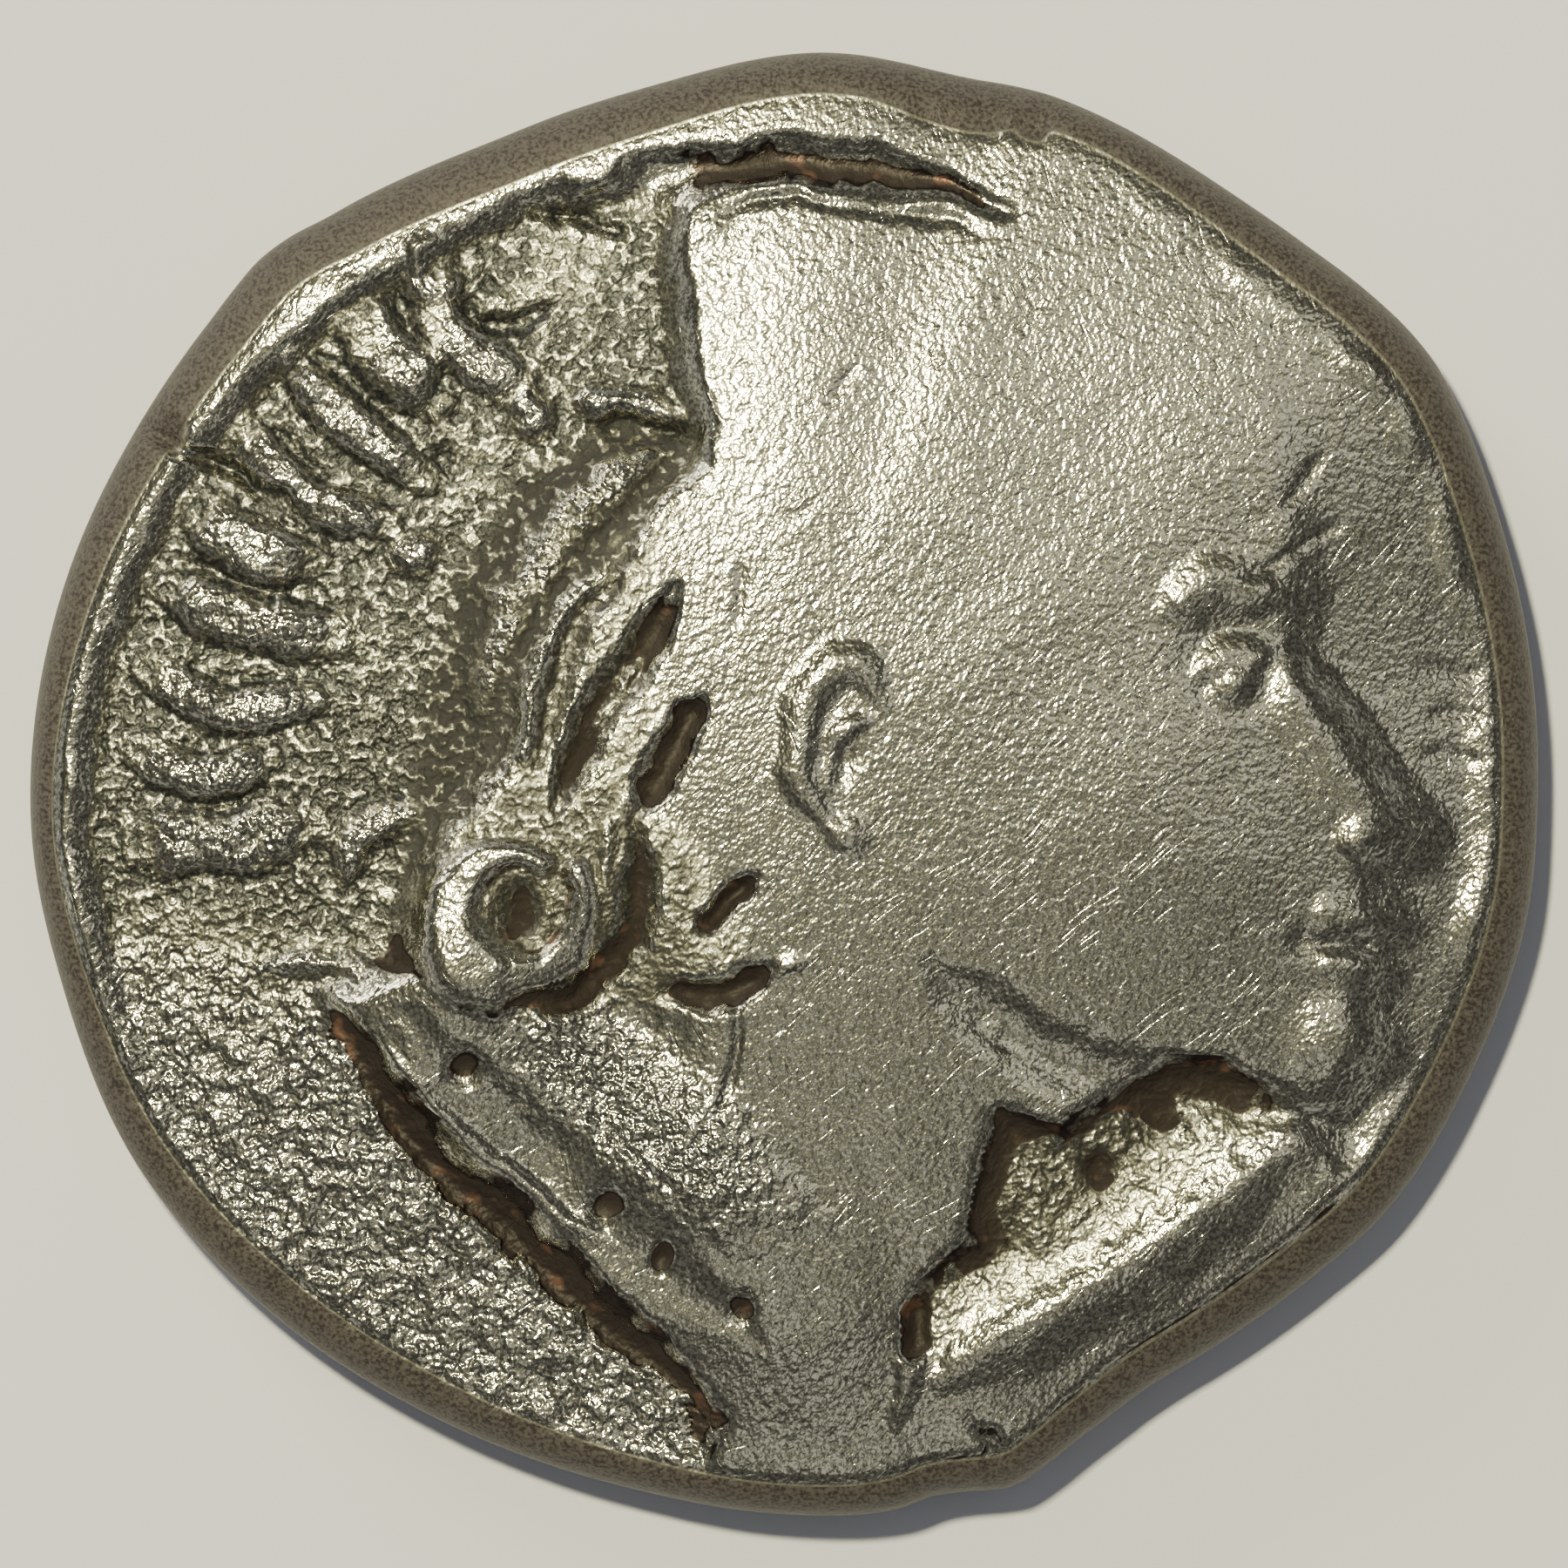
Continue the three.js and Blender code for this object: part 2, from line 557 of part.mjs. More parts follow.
// Rings of the edge from the border out to the widest line and back in to the land
const edgeRings = () => {
  const rings = [];
  for (let step = 1; step <= EDGE_STEPS; step += 1) {
    const turnIn = radians((90 * step) / EDGE_STEPS);
    rings.push(makeRing(EDGE_SEGMENTS, (angle) => {
      const radius = outlineRadius(angle) - upperRound(angle) * (1 - Math.sin(turnIn));
      const border = borderRadius(angle);
      const borderLevel = obverseLevel(border * Math.cos(angle), border * Math.sin(angle));
      const level = EDGE_LEVEL + (borderLevel - EDGE_LEVEL) * Math.cos(turnIn);
      return inMillimetres(radius * Math.cos(angle), radius * Math.sin(angle), level);
    }));
  }
  for (let step = 1; step < EDGE_STEPS; step += 1) {
    const turnIn = radians((90 * step) / EDGE_STEPS);
    rings.push(makeRing(EDGE_SEGMENTS, (angle) => {
      const radius = outlineRadius(angle) - share(LOWER_ROUND) * (1 - Math.cos(turnIn));
      const level = EDGE_LEVEL * (1 - Math.sin(turnIn));
      return inMillimetres(radius * Math.cos(angle), radius * Math.sin(angle), level);
    }));
  }
  return rings;
};

// Rings of the reverse from the land's outer line in to the middle of the dish
const reverseRings = () => {
  const rings = [];
  rings.push(makeRing(STAR_RAYS * (REVERSE_RINGS + 1), (angle) => {
    const radius = landRadius(angle);
    return inMillimetres(radius * Math.cos(angle), radius * Math.sin(angle), 0);
  }));
  for (let k = REVERSE_RINGS; k >= 0; k -= 1) {
    rings.push(makeRing(Math.max(1, STAR_RAYS * k), (angle) => {
      const radius = (k / REVERSE_RINGS) * (landRadius(angle) - share(LAND_WIDTH));
      const x = radius * Math.cos(angle);
      const y = radius * Math.sin(angle);
      return inMillimetres(x, y, reverseLevel(x, y));
    }));
  }
  return rings;
};

// Joins two neighbouring rings with triangles, stepping along whichever is behind
const joinRings = (inner, outer) => {
  const triangles = [];
  const angleOf = (ring, i) => (i < ring.length ? ring[i].angle : FULL_TURN);
  let i = 0;
  let j = 0;
  while (i < inner.length || j < outer.length) {
    const a = inner[i % inner.length];
    const b = outer[j % outer.length];
    const innerNext = angleOf(inner, i + 1);
    const outerNext = angleOf(outer, j + 1);
    const stepInner = j >= outer.length || (i < inner.length && innerNext <= outerNext);
    if (stepInner) {
      i += 1;
      triangles.push([a, b, inner[i % inner.length]]);
    } else {
      j += 1;
      triangles.push([a, b, outer[j % outer.length]]);
    }
  }
  return triangles.filter(([a, b, c]) => a !== c && b !== c);
};

// A closed skin over the obverse, the edge and the reverse
const coinGeometry = () => {
  const obverse = obverseSkin();
  const rings = [obverse.border, ...edgeRings(), ...reverseRings()];
  const triangles = [...obverse.triangles];
  for (let k = 0; k + 1 < rings.length; k += 1) {
    triangles.push(...joinRings(rings[k], rings[k + 1]));
  }
  const corners = [...obverse.used, ...rings.slice(1).flat()];
  const numbers = new Map(corners.map((corner, i) => [corner, i]));
  const geometry = new THREE.BufferGeometry();
  const positions = corners.flatMap((corner) => corner.point);
  geometry.setAttribute('position', new THREE.Float32BufferAttribute(positions, 3));
  geometry.setIndex(triangles.flat().map((corner) => numbers.get(corner)));
  geometry.computeVertexNormals();
  return geometry;
};

// Worn silver with a warm grey tone
const wornSilver = new THREE.MeshStandardMaterial({ color: 0xb9b29c, roughness: 0.38, metalness: 1.0 });

const coin = new THREE.Mesh(coinGeometry(), wornSilver);
coin.name = 'coin';

const drachm = new THREE.Group();
drachm.add(coin);

export default drachm;
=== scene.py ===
"""A worn ancient silver drachm, lying obverse up on a pale floor, seen from straight above."""
import math

import bpy
import numpy as np
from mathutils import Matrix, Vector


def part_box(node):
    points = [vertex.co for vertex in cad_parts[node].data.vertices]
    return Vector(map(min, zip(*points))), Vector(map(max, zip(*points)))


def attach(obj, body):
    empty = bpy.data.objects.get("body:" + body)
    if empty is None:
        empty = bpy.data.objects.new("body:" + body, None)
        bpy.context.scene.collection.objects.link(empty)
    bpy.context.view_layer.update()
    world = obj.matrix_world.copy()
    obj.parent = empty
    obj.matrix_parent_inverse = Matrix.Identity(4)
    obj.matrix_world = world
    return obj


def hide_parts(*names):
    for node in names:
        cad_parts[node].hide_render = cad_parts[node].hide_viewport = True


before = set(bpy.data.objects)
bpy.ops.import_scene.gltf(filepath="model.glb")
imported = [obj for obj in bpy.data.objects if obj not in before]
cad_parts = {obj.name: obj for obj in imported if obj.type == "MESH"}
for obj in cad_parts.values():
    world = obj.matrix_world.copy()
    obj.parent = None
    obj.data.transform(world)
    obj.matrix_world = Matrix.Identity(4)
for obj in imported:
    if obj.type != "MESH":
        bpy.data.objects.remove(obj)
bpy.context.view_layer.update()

coin_low, coin_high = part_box("coin")

# Sizes from the frame. Places on the coin are shares of half its width, from its middle.
HALF_WIDTH = (coin_high.x - coin_low.x) / 2
DESIGN_THICKNESS = 2.398
MM = (coin_high.z - coin_low.z) / DESIGN_THICKNESS
SHARE_OF_MM = MM / HALF_WIDTH

# Levels of the flan, in mm
EDGE_LEVEL = 0.95
BORDER_LEVEL = 1.65
DOME_RISE = 0.6
DISH_DEPTH = 0.32
LAND_WIDTH = 1.1
LOWER_ROUND = 0.55

# Depths and rises of the obverse relief, in mm
FIELD_DEPTH = 0.14
FIELD_FLATNESS = 0.5
FACE_FIELD_DEPTH = 0.14
HOLLOW_DEPTH = 0.2
SCOOP_DEPTH = 0.22
LOCK_RISE = 0.16
CURL_RISE = 0.2
DRESS_RISE = 0.12
GROOVE_DEPTH = 0.16
PELLET_RISE = 0.12
FOLD_RISE = 0.06
FACE_RISE = 0.09
RIM_LIP_RISE = 0.07

# The row of plain curved strokes
STROKE_COUNT = 9
STROKE_RISE = 0.2
STROKE_WIDTH = 0.57
TROUGH_DEPTH = 0.04
TROUGH_SPREAD = 1.9
STROKE_BAND = {"first": 120, "last": 189, "inner": 0.63, "outer": 0.85, "shortened": 0.06, "bend": 0.03}
# How the strokes vary along the row: every third is shorter, and bends and widths swing
SHORT_EVERY = 3
BEND_SWING = 0.02
BEND_BEAT = 2
WIDTH_SWING = 0.22
WIDTH_BEAT = 1.7

# The reverse device, in mm
STAR_RAYS = 8
STAR_RISE = 0.12
STAR_RADIUS = 4.6
RAY_HALF = 0.45
RAY_FADE = 0.8

# The boss where the rays meet and the worn ring of dots, in shares, and the dots' rise in mm
BOSS_RADIUS = 0.17
DOT_COUNT = 44
DOT_PLACE = 0.86
DOT_RADIUS = 0.028
DOT_RISE = 0.06

# How finely the three surfaces are meshed
OBVERSE_RINGS = 150
REVERSE_RINGS = 72
EDGE_STEPS = 5
CROWDING = 0.16
LEFT_SHIFT = -0.12

# Width of the rounded band between the widest line and the obverse border: degrees, share
UPPER_ROUND = [
    (0, 0.046), (45, 0.052), (68, 0.044), (73, 0.07), (78, 0.068), (84, 0.056), (110, 0.062),
    (135, 0.06), (165, 0.042), (185, 0.03), (225, 0.052), (270, 0.04), (315, 0.052),
]
# Rise of the thin lip inside the border, as a share of RIM_LIP_RISE
RIM_LIP = [
    (0, 0.7), (20, 1), (40, 0.6), (60, 0.2), (90, 0), (120, 0), (160, 0.3), (190, 0.8),
    (220, 0.5), (260, 0.2), (300, 0.1), (330, 0.4),
]
LIP_INSET = 0.03
LIP_HALF = 0.03

# The sunken field on the left
FIELD = [
    (-0.15, 0.76), (-0.3, 0.79), (-0.42, 0.735), (-0.52, 0.675), (-0.61, 0.61), (-0.69, 0.54),
    (-0.77, 0.44), (-0.84, 0.33), (-0.89, 0.2), (-0.92, 0.06), (-0.93, -0.1), (-0.91, -0.25),
    (-0.87, -0.38), (-0.8, -0.5), (-0.71, -0.61), (-0.6, -0.71), (-0.47, -0.79), (-0.3, -0.86),
    (-0.1, -0.9), (-0.08, -0.85), (-0.2, -0.73), (-0.31, -0.63), (-0.42, -0.53), (-0.52, -0.41),
    (-0.6, -0.28), (-0.5, -0.24), (-0.5, -0.16), (-0.46, -0.06), (-0.41, -0.01), (-0.37, 0.07),
    (-0.33, 0.17), (-0.27, 0.27), (-0.19, 0.36), (-0.11, 0.43), (-0.105, 0.47), (-0.125, 0.53),
    (-0.145, 0.61), (-0.145, 0.7),
]
# The field in front of the face
FACE_FIELD = [
    (0.5, 0.8), (0.6, 0.63), (0.675, 0.48), (0.695, 0.34), (0.7, 0.25), (0.68, 0.18),
    (0.76, 0.05), (0.855, -0.06), (0.84, -0.095), (0.785, -0.11), (0.8, -0.16), (0.815, -0.19),
    (0.785, -0.212), (0.8, -0.245), (0.77, -0.29), (0.785, -0.36), (0.75, -0.42), (0.68, -0.44),
    (0.74, -0.5), (0.86, -0.4), (0.92, -0.25), (0.945, -0.05), (0.95, 0.12), (0.93, 0.3),
    (0.89, 0.42), (0.83, 0.54), (0.74, 0.62), (0.6, 0.74),
]
# The broken hollow beside the right-hand fold of the dress
HOLLOW = [
    (0.29, -0.43), (0.36, -0.46), (0.42, -0.42), (0.5, -0.37), (0.58, -0.37), (0.67, -0.41),
    (0.66, -0.5), (0.55, -0.57), (0.44, -0.64), (0.32, -0.715), (0.2, -0.77), (0.17, -0.69),
    (0.25, -0.61), (0.27, -0.5),
]

# Rounded strands: path, half width, rise
RIDGES = [
    ([(-0.14, 0.44), (-0.24, 0.38), (-0.31, 0.29), (-0.37, 0.18), (-0.41, 0.06)], 0.055, LOCK_RISE),
    ([(-0.28, 0.5), (-0.2, 0.505), (-0.12, 0.48)], 0.022, PELLET_RISE),
    ([(-0.59, -0.13), (-0.565, -0.07), (-0.5, -0.035), (-0.43, -0.03)], 0.025, PELLET_RISE),
    ([(-0.69, -0.24), (-0.6, -0.235), (-0.52, -0.245)], 0.02, PELLET_RISE),
    ([(-0.1, 0.785), (0.03, 0.795), (0.15, 0.79), (0.28, 0.757)], 0.016, FOLD_RISE),
    ([(-0.41, -0.33), (-0.3, -0.43), (-0.2, -0.5), (-0.1, -0.57), (0.0, -0.63)], 0.035, DRESS_RISE),
    ([(0.21, -0.79), (0.32, -0.725), (0.44, -0.65), (0.55, -0.575), (0.65, -0.5)], 0.06, DRESS_RISE),
    # Brow, upper lid, side of the nose, lips and ear of the plain worn face
    ([(0.5, 0.225), (0.58, 0.265), (0.665, 0.245)], 0.04, FACE_RISE),
    ([(0.545, 0.15), (0.6, 0.182), (0.65, 0.155)], 0.022, FACE_RISE),
    ([(0.665, 0.18), (0.73, 0.05), (0.8, -0.06)], 0.055, FACE_RISE),
    ([(0.7, -0.178), (0.79, -0.175)], 0.028, FACE_RISE / 2),
    ([(0.71, -0.245), (0.78, -0.247)], 0.028, FACE_RISE / 2),
    ([(0.13, 0.11), (0.09, 0.16), (0.03, 0.12), (0.02, 0.02), (0.07, -0.08)], 0.03, FACE_RISE),
]
# Cut lines: path, half width, depth
GROOVES = [
    ([(-0.3, 0.75), (-0.2, 0.785), (-0.1, 0.812), (0.02, 0.82), (0.14, 0.805), (0.3, 0.76)],
     0.04, GROOVE_DEPTH),
    ([(-0.25, 0.475), (-0.12, 0.452)], 0.025, GROOVE_DEPTH),
    ([(-0.21, 0.31), (-0.27, 0.2), (-0.31, 0.1), (-0.33, 0.02)], 0.02, GROOVE_DEPTH / 2),
    ([(-0.145, 0.25), (-0.2, 0.16), (-0.26, 0.07), (-0.3, -0.03)], 0.036, GROOVE_DEPTH),
    ([(-0.11, 0.11), (-0.145, 0.05), (-0.19, -0.04)], 0.026, GROOVE_DEPTH),
    ([(-0.2, -0.05), (-0.185, -0.14), (-0.205, -0.21), (-0.27, -0.27), (-0.37, -0.3)], 0.028, GROOVE_DEPTH),
    ([(-0.035, -0.125), (-0.08, -0.165), (-0.115, -0.2)], 0.02, GROOVE_DEPTH),
    ([(-0.02, -0.245), (-0.08, -0.28), (-0.16, -0.28)], 0.025, GROOVE_DEPTH),
    ([(-0.6, -0.28), (-0.52, -0.41), (-0.4, -0.55), (-0.3, -0.64), (-0.2, -0.73), (-0.1, -0.83)],
     0.04, GROOVE_DEPTH),
    ([(-0.5, -0.3), (-0.4, -0.42), (-0.28, -0.54), (-0.16, -0.64), (-0.04, -0.73)], 0.06, DRESS_RISE / 2),
    ([(0.7, -0.213), (0.79, -0.21)], 0.016, FACE_RISE / 2),
    ([(0.7, -0.44), (0.5, -0.4), (0.32, -0.34), (0.2, -0.24)], 0.06, FACE_RISE),
    ([(0.17, -0.68), (0.175, -0.76)], 0.022, GROOVE_DEPTH),
    ([(0.21, -0.95), (0.265, -0.91), (0.275, -0.87), (0.245, -0.845)], 0.016, GROOVE_DEPTH / 2),
]
# Small round marks: middle, radius, rise
MARKS = [
    ((-0.11, 0.738), 0.045, PELLET_RISE / 4),
    ((-0.33, 0.49), 0.045, PELLET_RISE),
    ((-0.49, 0.31), 0.045, PELLET_RISE),
    ((-0.38, 0.26), 0.04, PELLET_RISE),
    ((-0.445, 0.425), 0.035, -PELLET_RISE / 2),
    ((-0.352, -0.17), 0.045, -CURL_RISE),
    ((-0.42, -0.37), 0.035, -PELLET_RISE),
    ((-0.23, -0.56), 0.035, -PELLET_RISE),
    ((-0.16, -0.63), 0.025, -PELLET_RISE),
    ((-0.06, -0.69), 0.03, -PELLET_RISE),
    ((0.335, -0.545), 0.085, HOLLOW_DEPTH / 2),
    ((0.49, -0.44), 0.045, -PELLET_RISE),
    ((0.42, -0.51), 0.03, -PELLET_RISE),
]
CURL = {"at": (-0.36, -0.17), "start": 60, "sweep": 330, "inner": 0.075, "outer": 0.1, "half": 0.02,
        "fat": 0.04}
SCOOP = {"at": (-0.27, -0.33), "radius": 0.2}

# Finer relief that the solid leaves out: thin ridges, path, half width and rise
THIN_RIDGES = [
    ([(-0.15, 0.44), (-0.25, 0.37), (-0.32, 0.28), (-0.37, 0.17), (-0.4, 0.04)], 0.07, 0.16),
    ([(-0.41, -0.33), (-0.3, -0.43), (-0.2, -0.5), (-0.1, -0.57), (0.0, -0.63)], 0.044, -0.045),
    ([(-0.18, 0.37), (-0.25, 0.3), (-0.3, 0.21), (-0.335, 0.12), (-0.35, 0.03)], 0.022, 0.07),
    ([(-0.19, 0.17), (-0.23, 0.11), (-0.27, 0.05)], 0.013, 0.07),
    ([(-0.235, -0.04), (-0.235, -0.11), (-0.228, -0.17)], 0.014, 0.05),
    ([(-0.55, -0.32), (-0.5, -0.39), (-0.4, -0.48), (-0.3, -0.57), (-0.22, -0.61)], 0.02, 0.05),
    ([(-0.38, -0.26), (-0.26, -0.37), (-0.16, -0.44), (-0.06, -0.51), (0.04, -0.58)], 0.09, 0.06),
    ([(-0.23, 0.47), (-0.18, 0.46), (-0.12, 0.44)], 0.014, 0.06),
    ([(0.16, -0.72), (0.17, -0.79), (0.15, -0.85)], 0.02, 0.05),
    ([(0.03, -0.23), (-0.02, -0.25), (-0.08, -0.25)], 0.014, 0.03),
    ([(0.105, 0.09), (0.065, 0.06), (0.06, -0.01)], 0.02, FACE_RISE / 2),
]
# The even slope from the crest of the right-hand fold into the hollow: start, end and width
FOLD_SLOPE = ((0.2, -0.795), (0.66, -0.495), 0.12)
# The hair beside the plateau, which keeps a dull patina that is painted darker as shade
HAIR = [
    (-0.1, 0.44), (-0.17, 0.31), (-0.19, 0.2), (-0.16, 0.08), (-0.19, -0.03), (-0.12, -0.1),
    (-0.05, -0.2), (-0.08, -0.3), (-0.2, -0.29), (-0.32, -0.31), (-0.46, -0.26), (-0.51, -0.12),
    (-0.49, -0.02), (-0.48, 0.1), (-0.43, 0.27), (-0.34, 0.4), (-0.22, 0.48),
]
# The bright grainy strip above the inner fold of the dress
STRIP = ([(-0.36, -0.3), (-0.26, -0.38), (-0.14, -0.48), (0.0, -0.58)], 0.12)
# Broad soft forms of the hair and dress: middle, radius and rise
BROAD_FORMS = [
    ((-0.4, -0.31), 0.23, 0.17),
    ((-0.16, -0.6), 0.2, 0.09),
    ((0.0, -0.69), 0.2, 0.09),
    ((0.78, 0.62), 0.5, 0.12),
]
# Hairline cracks and scratches, path, half width and depth
HAIRLINES = [
    ([(-0.09, 0.745), (-0.03, 0.765), (0.03, 0.772), (0.12, 0.765), (0.2, 0.745), (0.3, 0.725)],
     0.012, 0.035),
    ([(-0.06, -0.29), (-0.07, -0.37), (-0.1, -0.45)], 0.009, 0.035),
    ([(-0.27, -0.43), (-0.2, -0.49), (-0.12, -0.56)], 0.009, 0.03),
    ([(0.06, 0.5), (0.08, 0.53), (0.1, 0.55)], 0.008, 0.018),
    ([(-0.02, 0.35), (0.01, 0.355), (0.04, 0.37)], 0.008, 0.018),
    ([(-0.055, 0.3), (-0.06, 0.25), (-0.07, 0.2)], 0.008, 0.02),
    ([(0.65, 0.35), (0.69, 0.4), (0.72, 0.45)], 0.009, 0.03),
    ([(0.6, 0.27), (0.66, 0.3), (0.75, 0.35)], 0.009, 0.03),
    ([(0.83, 0.16), (0.93, 0.14)], 0.009, 0.03),
    ([(0.85, 0.1), (0.94, 0.08)], 0.009, 0.03),
    ([(0.84, 0.05), (0.94, 0.02)], 0.009, 0.03),
    ([(-0.36, 0.77), (-0.27, 0.75), (-0.2, 0.72)], 0.012, 0.08),
    ([(-0.83, 0.46), (-0.79, 0.435), (-0.7, 0.4), (-0.6, 0.33)], 0.018, 0.12),
    ([(-0.42, 0.62), (-0.36, 0.6), (-0.3, 0.63)], 0.016, 0.07),
]
# Chips of the border and flakes at the foot: middle, radius and depth
CHIPS = [
    ((0.2, 0.93), 0.06, 0.16),
    ((0.27, 0.905), 0.055, 0.16),
    ((0.33, 0.89), 0.045, 0.12),
    ((0.235, -0.935), 0.04, 0.16),
    ((0.41, -0.86), 0.05, 0.14),
    ((0.43, -0.83), 0.025, 0.08),
    ((-0.81, 0.46), 0.03, 0.12),
]
# Soft modelling of the plain face: middle, radius and rise
FACE_FORMS = [
    ((0.6, 0.17), 0.1, -FACE_RISE / 2),
    ((0.6, 0.14), 0.045, FACE_RISE),
    ((0.5, -0.05), 0.26, FACE_RISE / 3),
    ((0.085, -0.07), 0.035, FACE_RISE / 2),
    ((0.75, -0.35), 0.1, FACE_RISE),
    ((0.77, -0.075), 0.045, FACE_RISE),
    ((0.07, 0.03), 0.045, -FACE_RISE / 2),
    ((0.69, -0.21), 0.03, -FACE_RISE / 2),
]
# Depth of the seam at the border, as a share of SEAM_DEPTH
SEAM = [
    (0, 1), (25, 0.3), (60, 0.1), (120, 0.1), (160, 0.3), (185, 0.8), (210, 1), (240, 0.7), (280, 0.6),
    (310, 1), (340, 1),
]
SEAM_DEPTH = 0.07
SEAM_HALF = 0.014

# The ridges are worn: wider and lower than they were struck
WORN_SPREAD = 1.25
WORN_HEIGHT = 0.7
# Cuts wider than this have soft shoulders
BROAD_CUT = 0.05
# A stroke's ends are this share of its width
STROKE_ENDS = 0.75
# A strand grows from each end over this share of its length, from these shares of its width and rise
TAPER = 0.25
END_WIDTH = 0.35
END_RISE = 0.3
# A higher power makes a cut's bottom narrower
CUT_POWER = 1.4

# How soft the walls of the sunken areas are, in shares, and where the face field fades out at its top
FIELD_SOFTNESS = 0.028
FACE_FIELD_SOFTNESS = 0.04
HOLLOW_SOFTNESS = 0.022
HAIR_SOFTNESS = 0.025
FACE_FIELD_TOP = 0.62
FACE_FIELD_FADE = 0.5
# The rim's lip is worn down to this share in places
LIP_LEAST = 0.45
# A chip this deep, in mm, shows the edge's colour
FULL_CHIP = 0.05

# Lines struck by hand aren't even: share moved, share across one swing, seeds along X and Y
WANDERINGS = [(0.008, 0.07, 31, 33), (0.004, 0.02, 32, 34)]
# Random patterns of the obverse: share across one lump, seed
LIP_PATTERN = (0.06, 35)
COARSE_PATTERN = (0.026, 11)
FINE_PATTERN = (0.015, 12)
STREAK_PATTERN = (0.013, 13)
SWELL_PATTERN = (0.12, 14)
STROKE_PATTERN = (0.035, 15)
FINE_STROKE_PATTERN = (0.018, 16)
SHADED_SLATE_PATTERN = (0.12, 41)
# Heights of the worn metal's lumps, in mm, where each area has them in full
LUMPS = {
    "field": 0.006, "lower_field": 0.014, "hollow": 0.014, "strip": 0.018, "hair": 0.006,
    "stroke": 0.025, "fine_stroke": 0.012, "streaks": 0.0015, "swell": 0.006,
}
# Coarse and fine lumps add up by this share each
LUMP_SHARE = 0.8
STREAK_STRETCH = 2.5
STREAK_TURN = math.radians(60)
# The field grows rougher from its middle down over this share, and the strokes are worn in this band
LOWER_FIELD_FADE = 0.35
WORN_BAND = {"inner": 0.6, "outer": 0.88, "fade": 0.05}

# The reverse wanders too: share moved, share across one swing, seeds along X and Y
REVERSE_WANDER = 0.008
REVERSE_SWING = 0.08
REVERSE_SEEDS = (23, 24)
# Its relief is worn by up to twice this share, and its grain is mm, share across and seed
REVERSE_WEAR = 0.25
REVERSE_WEAR_PATTERN = (0.25, 25)
REVERSE_GRAIN = [(0.006, 0.05, 21), (0.004, 0.024, 22)]
DISH_FADE = 0.04

# Height of a vertex over its surroundings: rounds of smoothing, least and full difference in mm
NEAR_CAVITY = (25, 0.012, 0.04)
FAR_CAVITY = (60, 0.02, 0.13)
STANDING = (90, 0, 0.035)
CREST = (20, 0.006, 0.04)
# How much the near and the far cavity add to the tarnish
NEAR_SHARE = 0.6
FAR_SHARE = 0.7
# Slopes are tarnished from this many degrees on, and fully after this many more
STEEP_FROM = 17
STEEP_SPAN = 16
# Areas without tarnish, with a softness and a gain: the upper field and the field before the face
CLEAN_FIELD = (0.06, 2.5)
CLEAN_FACE = (0.08, 2)
CLEAN_CUT = 0.8
# The hair and the top of the coin have less tarnish
HAIR_STEEP_CUT = 0.7
HAIR_CAVITY_CUT = 0.6
TOP_FROM = 0.62
TOP_FADE = 0.08
# The slate patina and painted shade of the upper field start at this height on the coin, with a waver, and
# are full after the fade
SHADED_SLATE_FROM = -0.45
SHADED_SLATE_WAVER = 0.12
SHADED_SLATE_FADE = 0.3
# Roughness of the areas beside that of the hollow, and how it falls in the upper field
STRIP_ROUGH = 1.6
HAIR_ROUGH = 0.6
UPPER_CUT = 0.4
UPPER_FADE = 0.4

# Vertices of the frame's widest line lie within this height, and are read no closer than this
LINE_SLACK_MM = 0.005
ANGLE_DIGITS = 3
LEAST_STEP_DEGREES = 0.5
CURL_STEPS = 40
LATTICE_SIZE = 256


def smooth_step(value):
    """A soft rise from 0 to 1."""
    t = np.clip(value, 0, 1)
    return t * t * (3 - 2 * t)


def rounded(distance):
    """A rounded section, 1 on its middle line and 0 at its edge."""
    return np.clip(1 - distance * distance, 0, 1) ** 2


def around_curve(pairs):
    """A smooth closed curve through (degrees, value) pairs, read at angles in radians."""
    angles = np.array([pair[0] for pair in pairs], float)
    values = np.array([pair[1] for pair in pairs], float)
    before = np.concatenate(([angles[-1] - 360], angles[:-1]))
    after = np.concatenate((angles[1:], [angles[0] + 360]))
    slopes = (np.roll(values, -1) - np.roll(values, 1)) / (after - before)

    def read(angle):
        degrees = np.degrees(angle) % 360
        i = (np.searchsorted(angles, degrees, side="right") - 1) % len(angles)
        j = (i + 1) % len(angles)
        span = (angles[j] - angles[i]) % 360
        t = ((degrees - angles[i]) % 360) / span
        ends = (1 + 2 * t) * (1 - t) ** 2 * values[i] + t * t * (3 - 2 * t) * values[j]
        pulls = t * (1 - t) ** 2 * slopes[i] - t * t * (1 - t) * slopes[j]
        return ends + span * pulls

    return read


def frame_outline():
    """The coin's outline from the frame: the distance of its widest line from the middle, in shares."""
    places = np.array([vertex.co[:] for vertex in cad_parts["coin"].data.vertices])
    on_line = np.abs(places[:, 2] - EDGE_LEVEL * MM) < LINE_SLACK_MM * MM
    widest = places[on_line]
    degrees = np.round(np.degrees(np.arctan2(widest[:, 1], widest[:, 0])) % 360, ANGLE_DIGITS)
    degrees, first = np.unique(degrees, return_index=True)
    radii = np.hypot(widest[first, 0], widest[first, 1]) / HALF_WIDTH
    apart = np.diff(np.concatenate((degrees, [degrees[0] + 360]))) > LEAST_STEP_DEGREES
    return around_curve(list(zip(degrees[apart], radii[apart])))


outline_radius = frame_outline()
upper_round = around_curve(UPPER_ROUND)
rim_lip = around_curve(RIM_LIP)
seam = around_curve(SEAM)


def border_radius(angle):
    """Distance of the obverse border from the middle."""
    return outline_radius(angle) - upper_round(angle)


def land_radius(angle):
    """Distance of the outer line of the reverse's flat land from the middle."""
    return outline_radius(angle) - LOWER_ROUND * SHARE_OF_MM


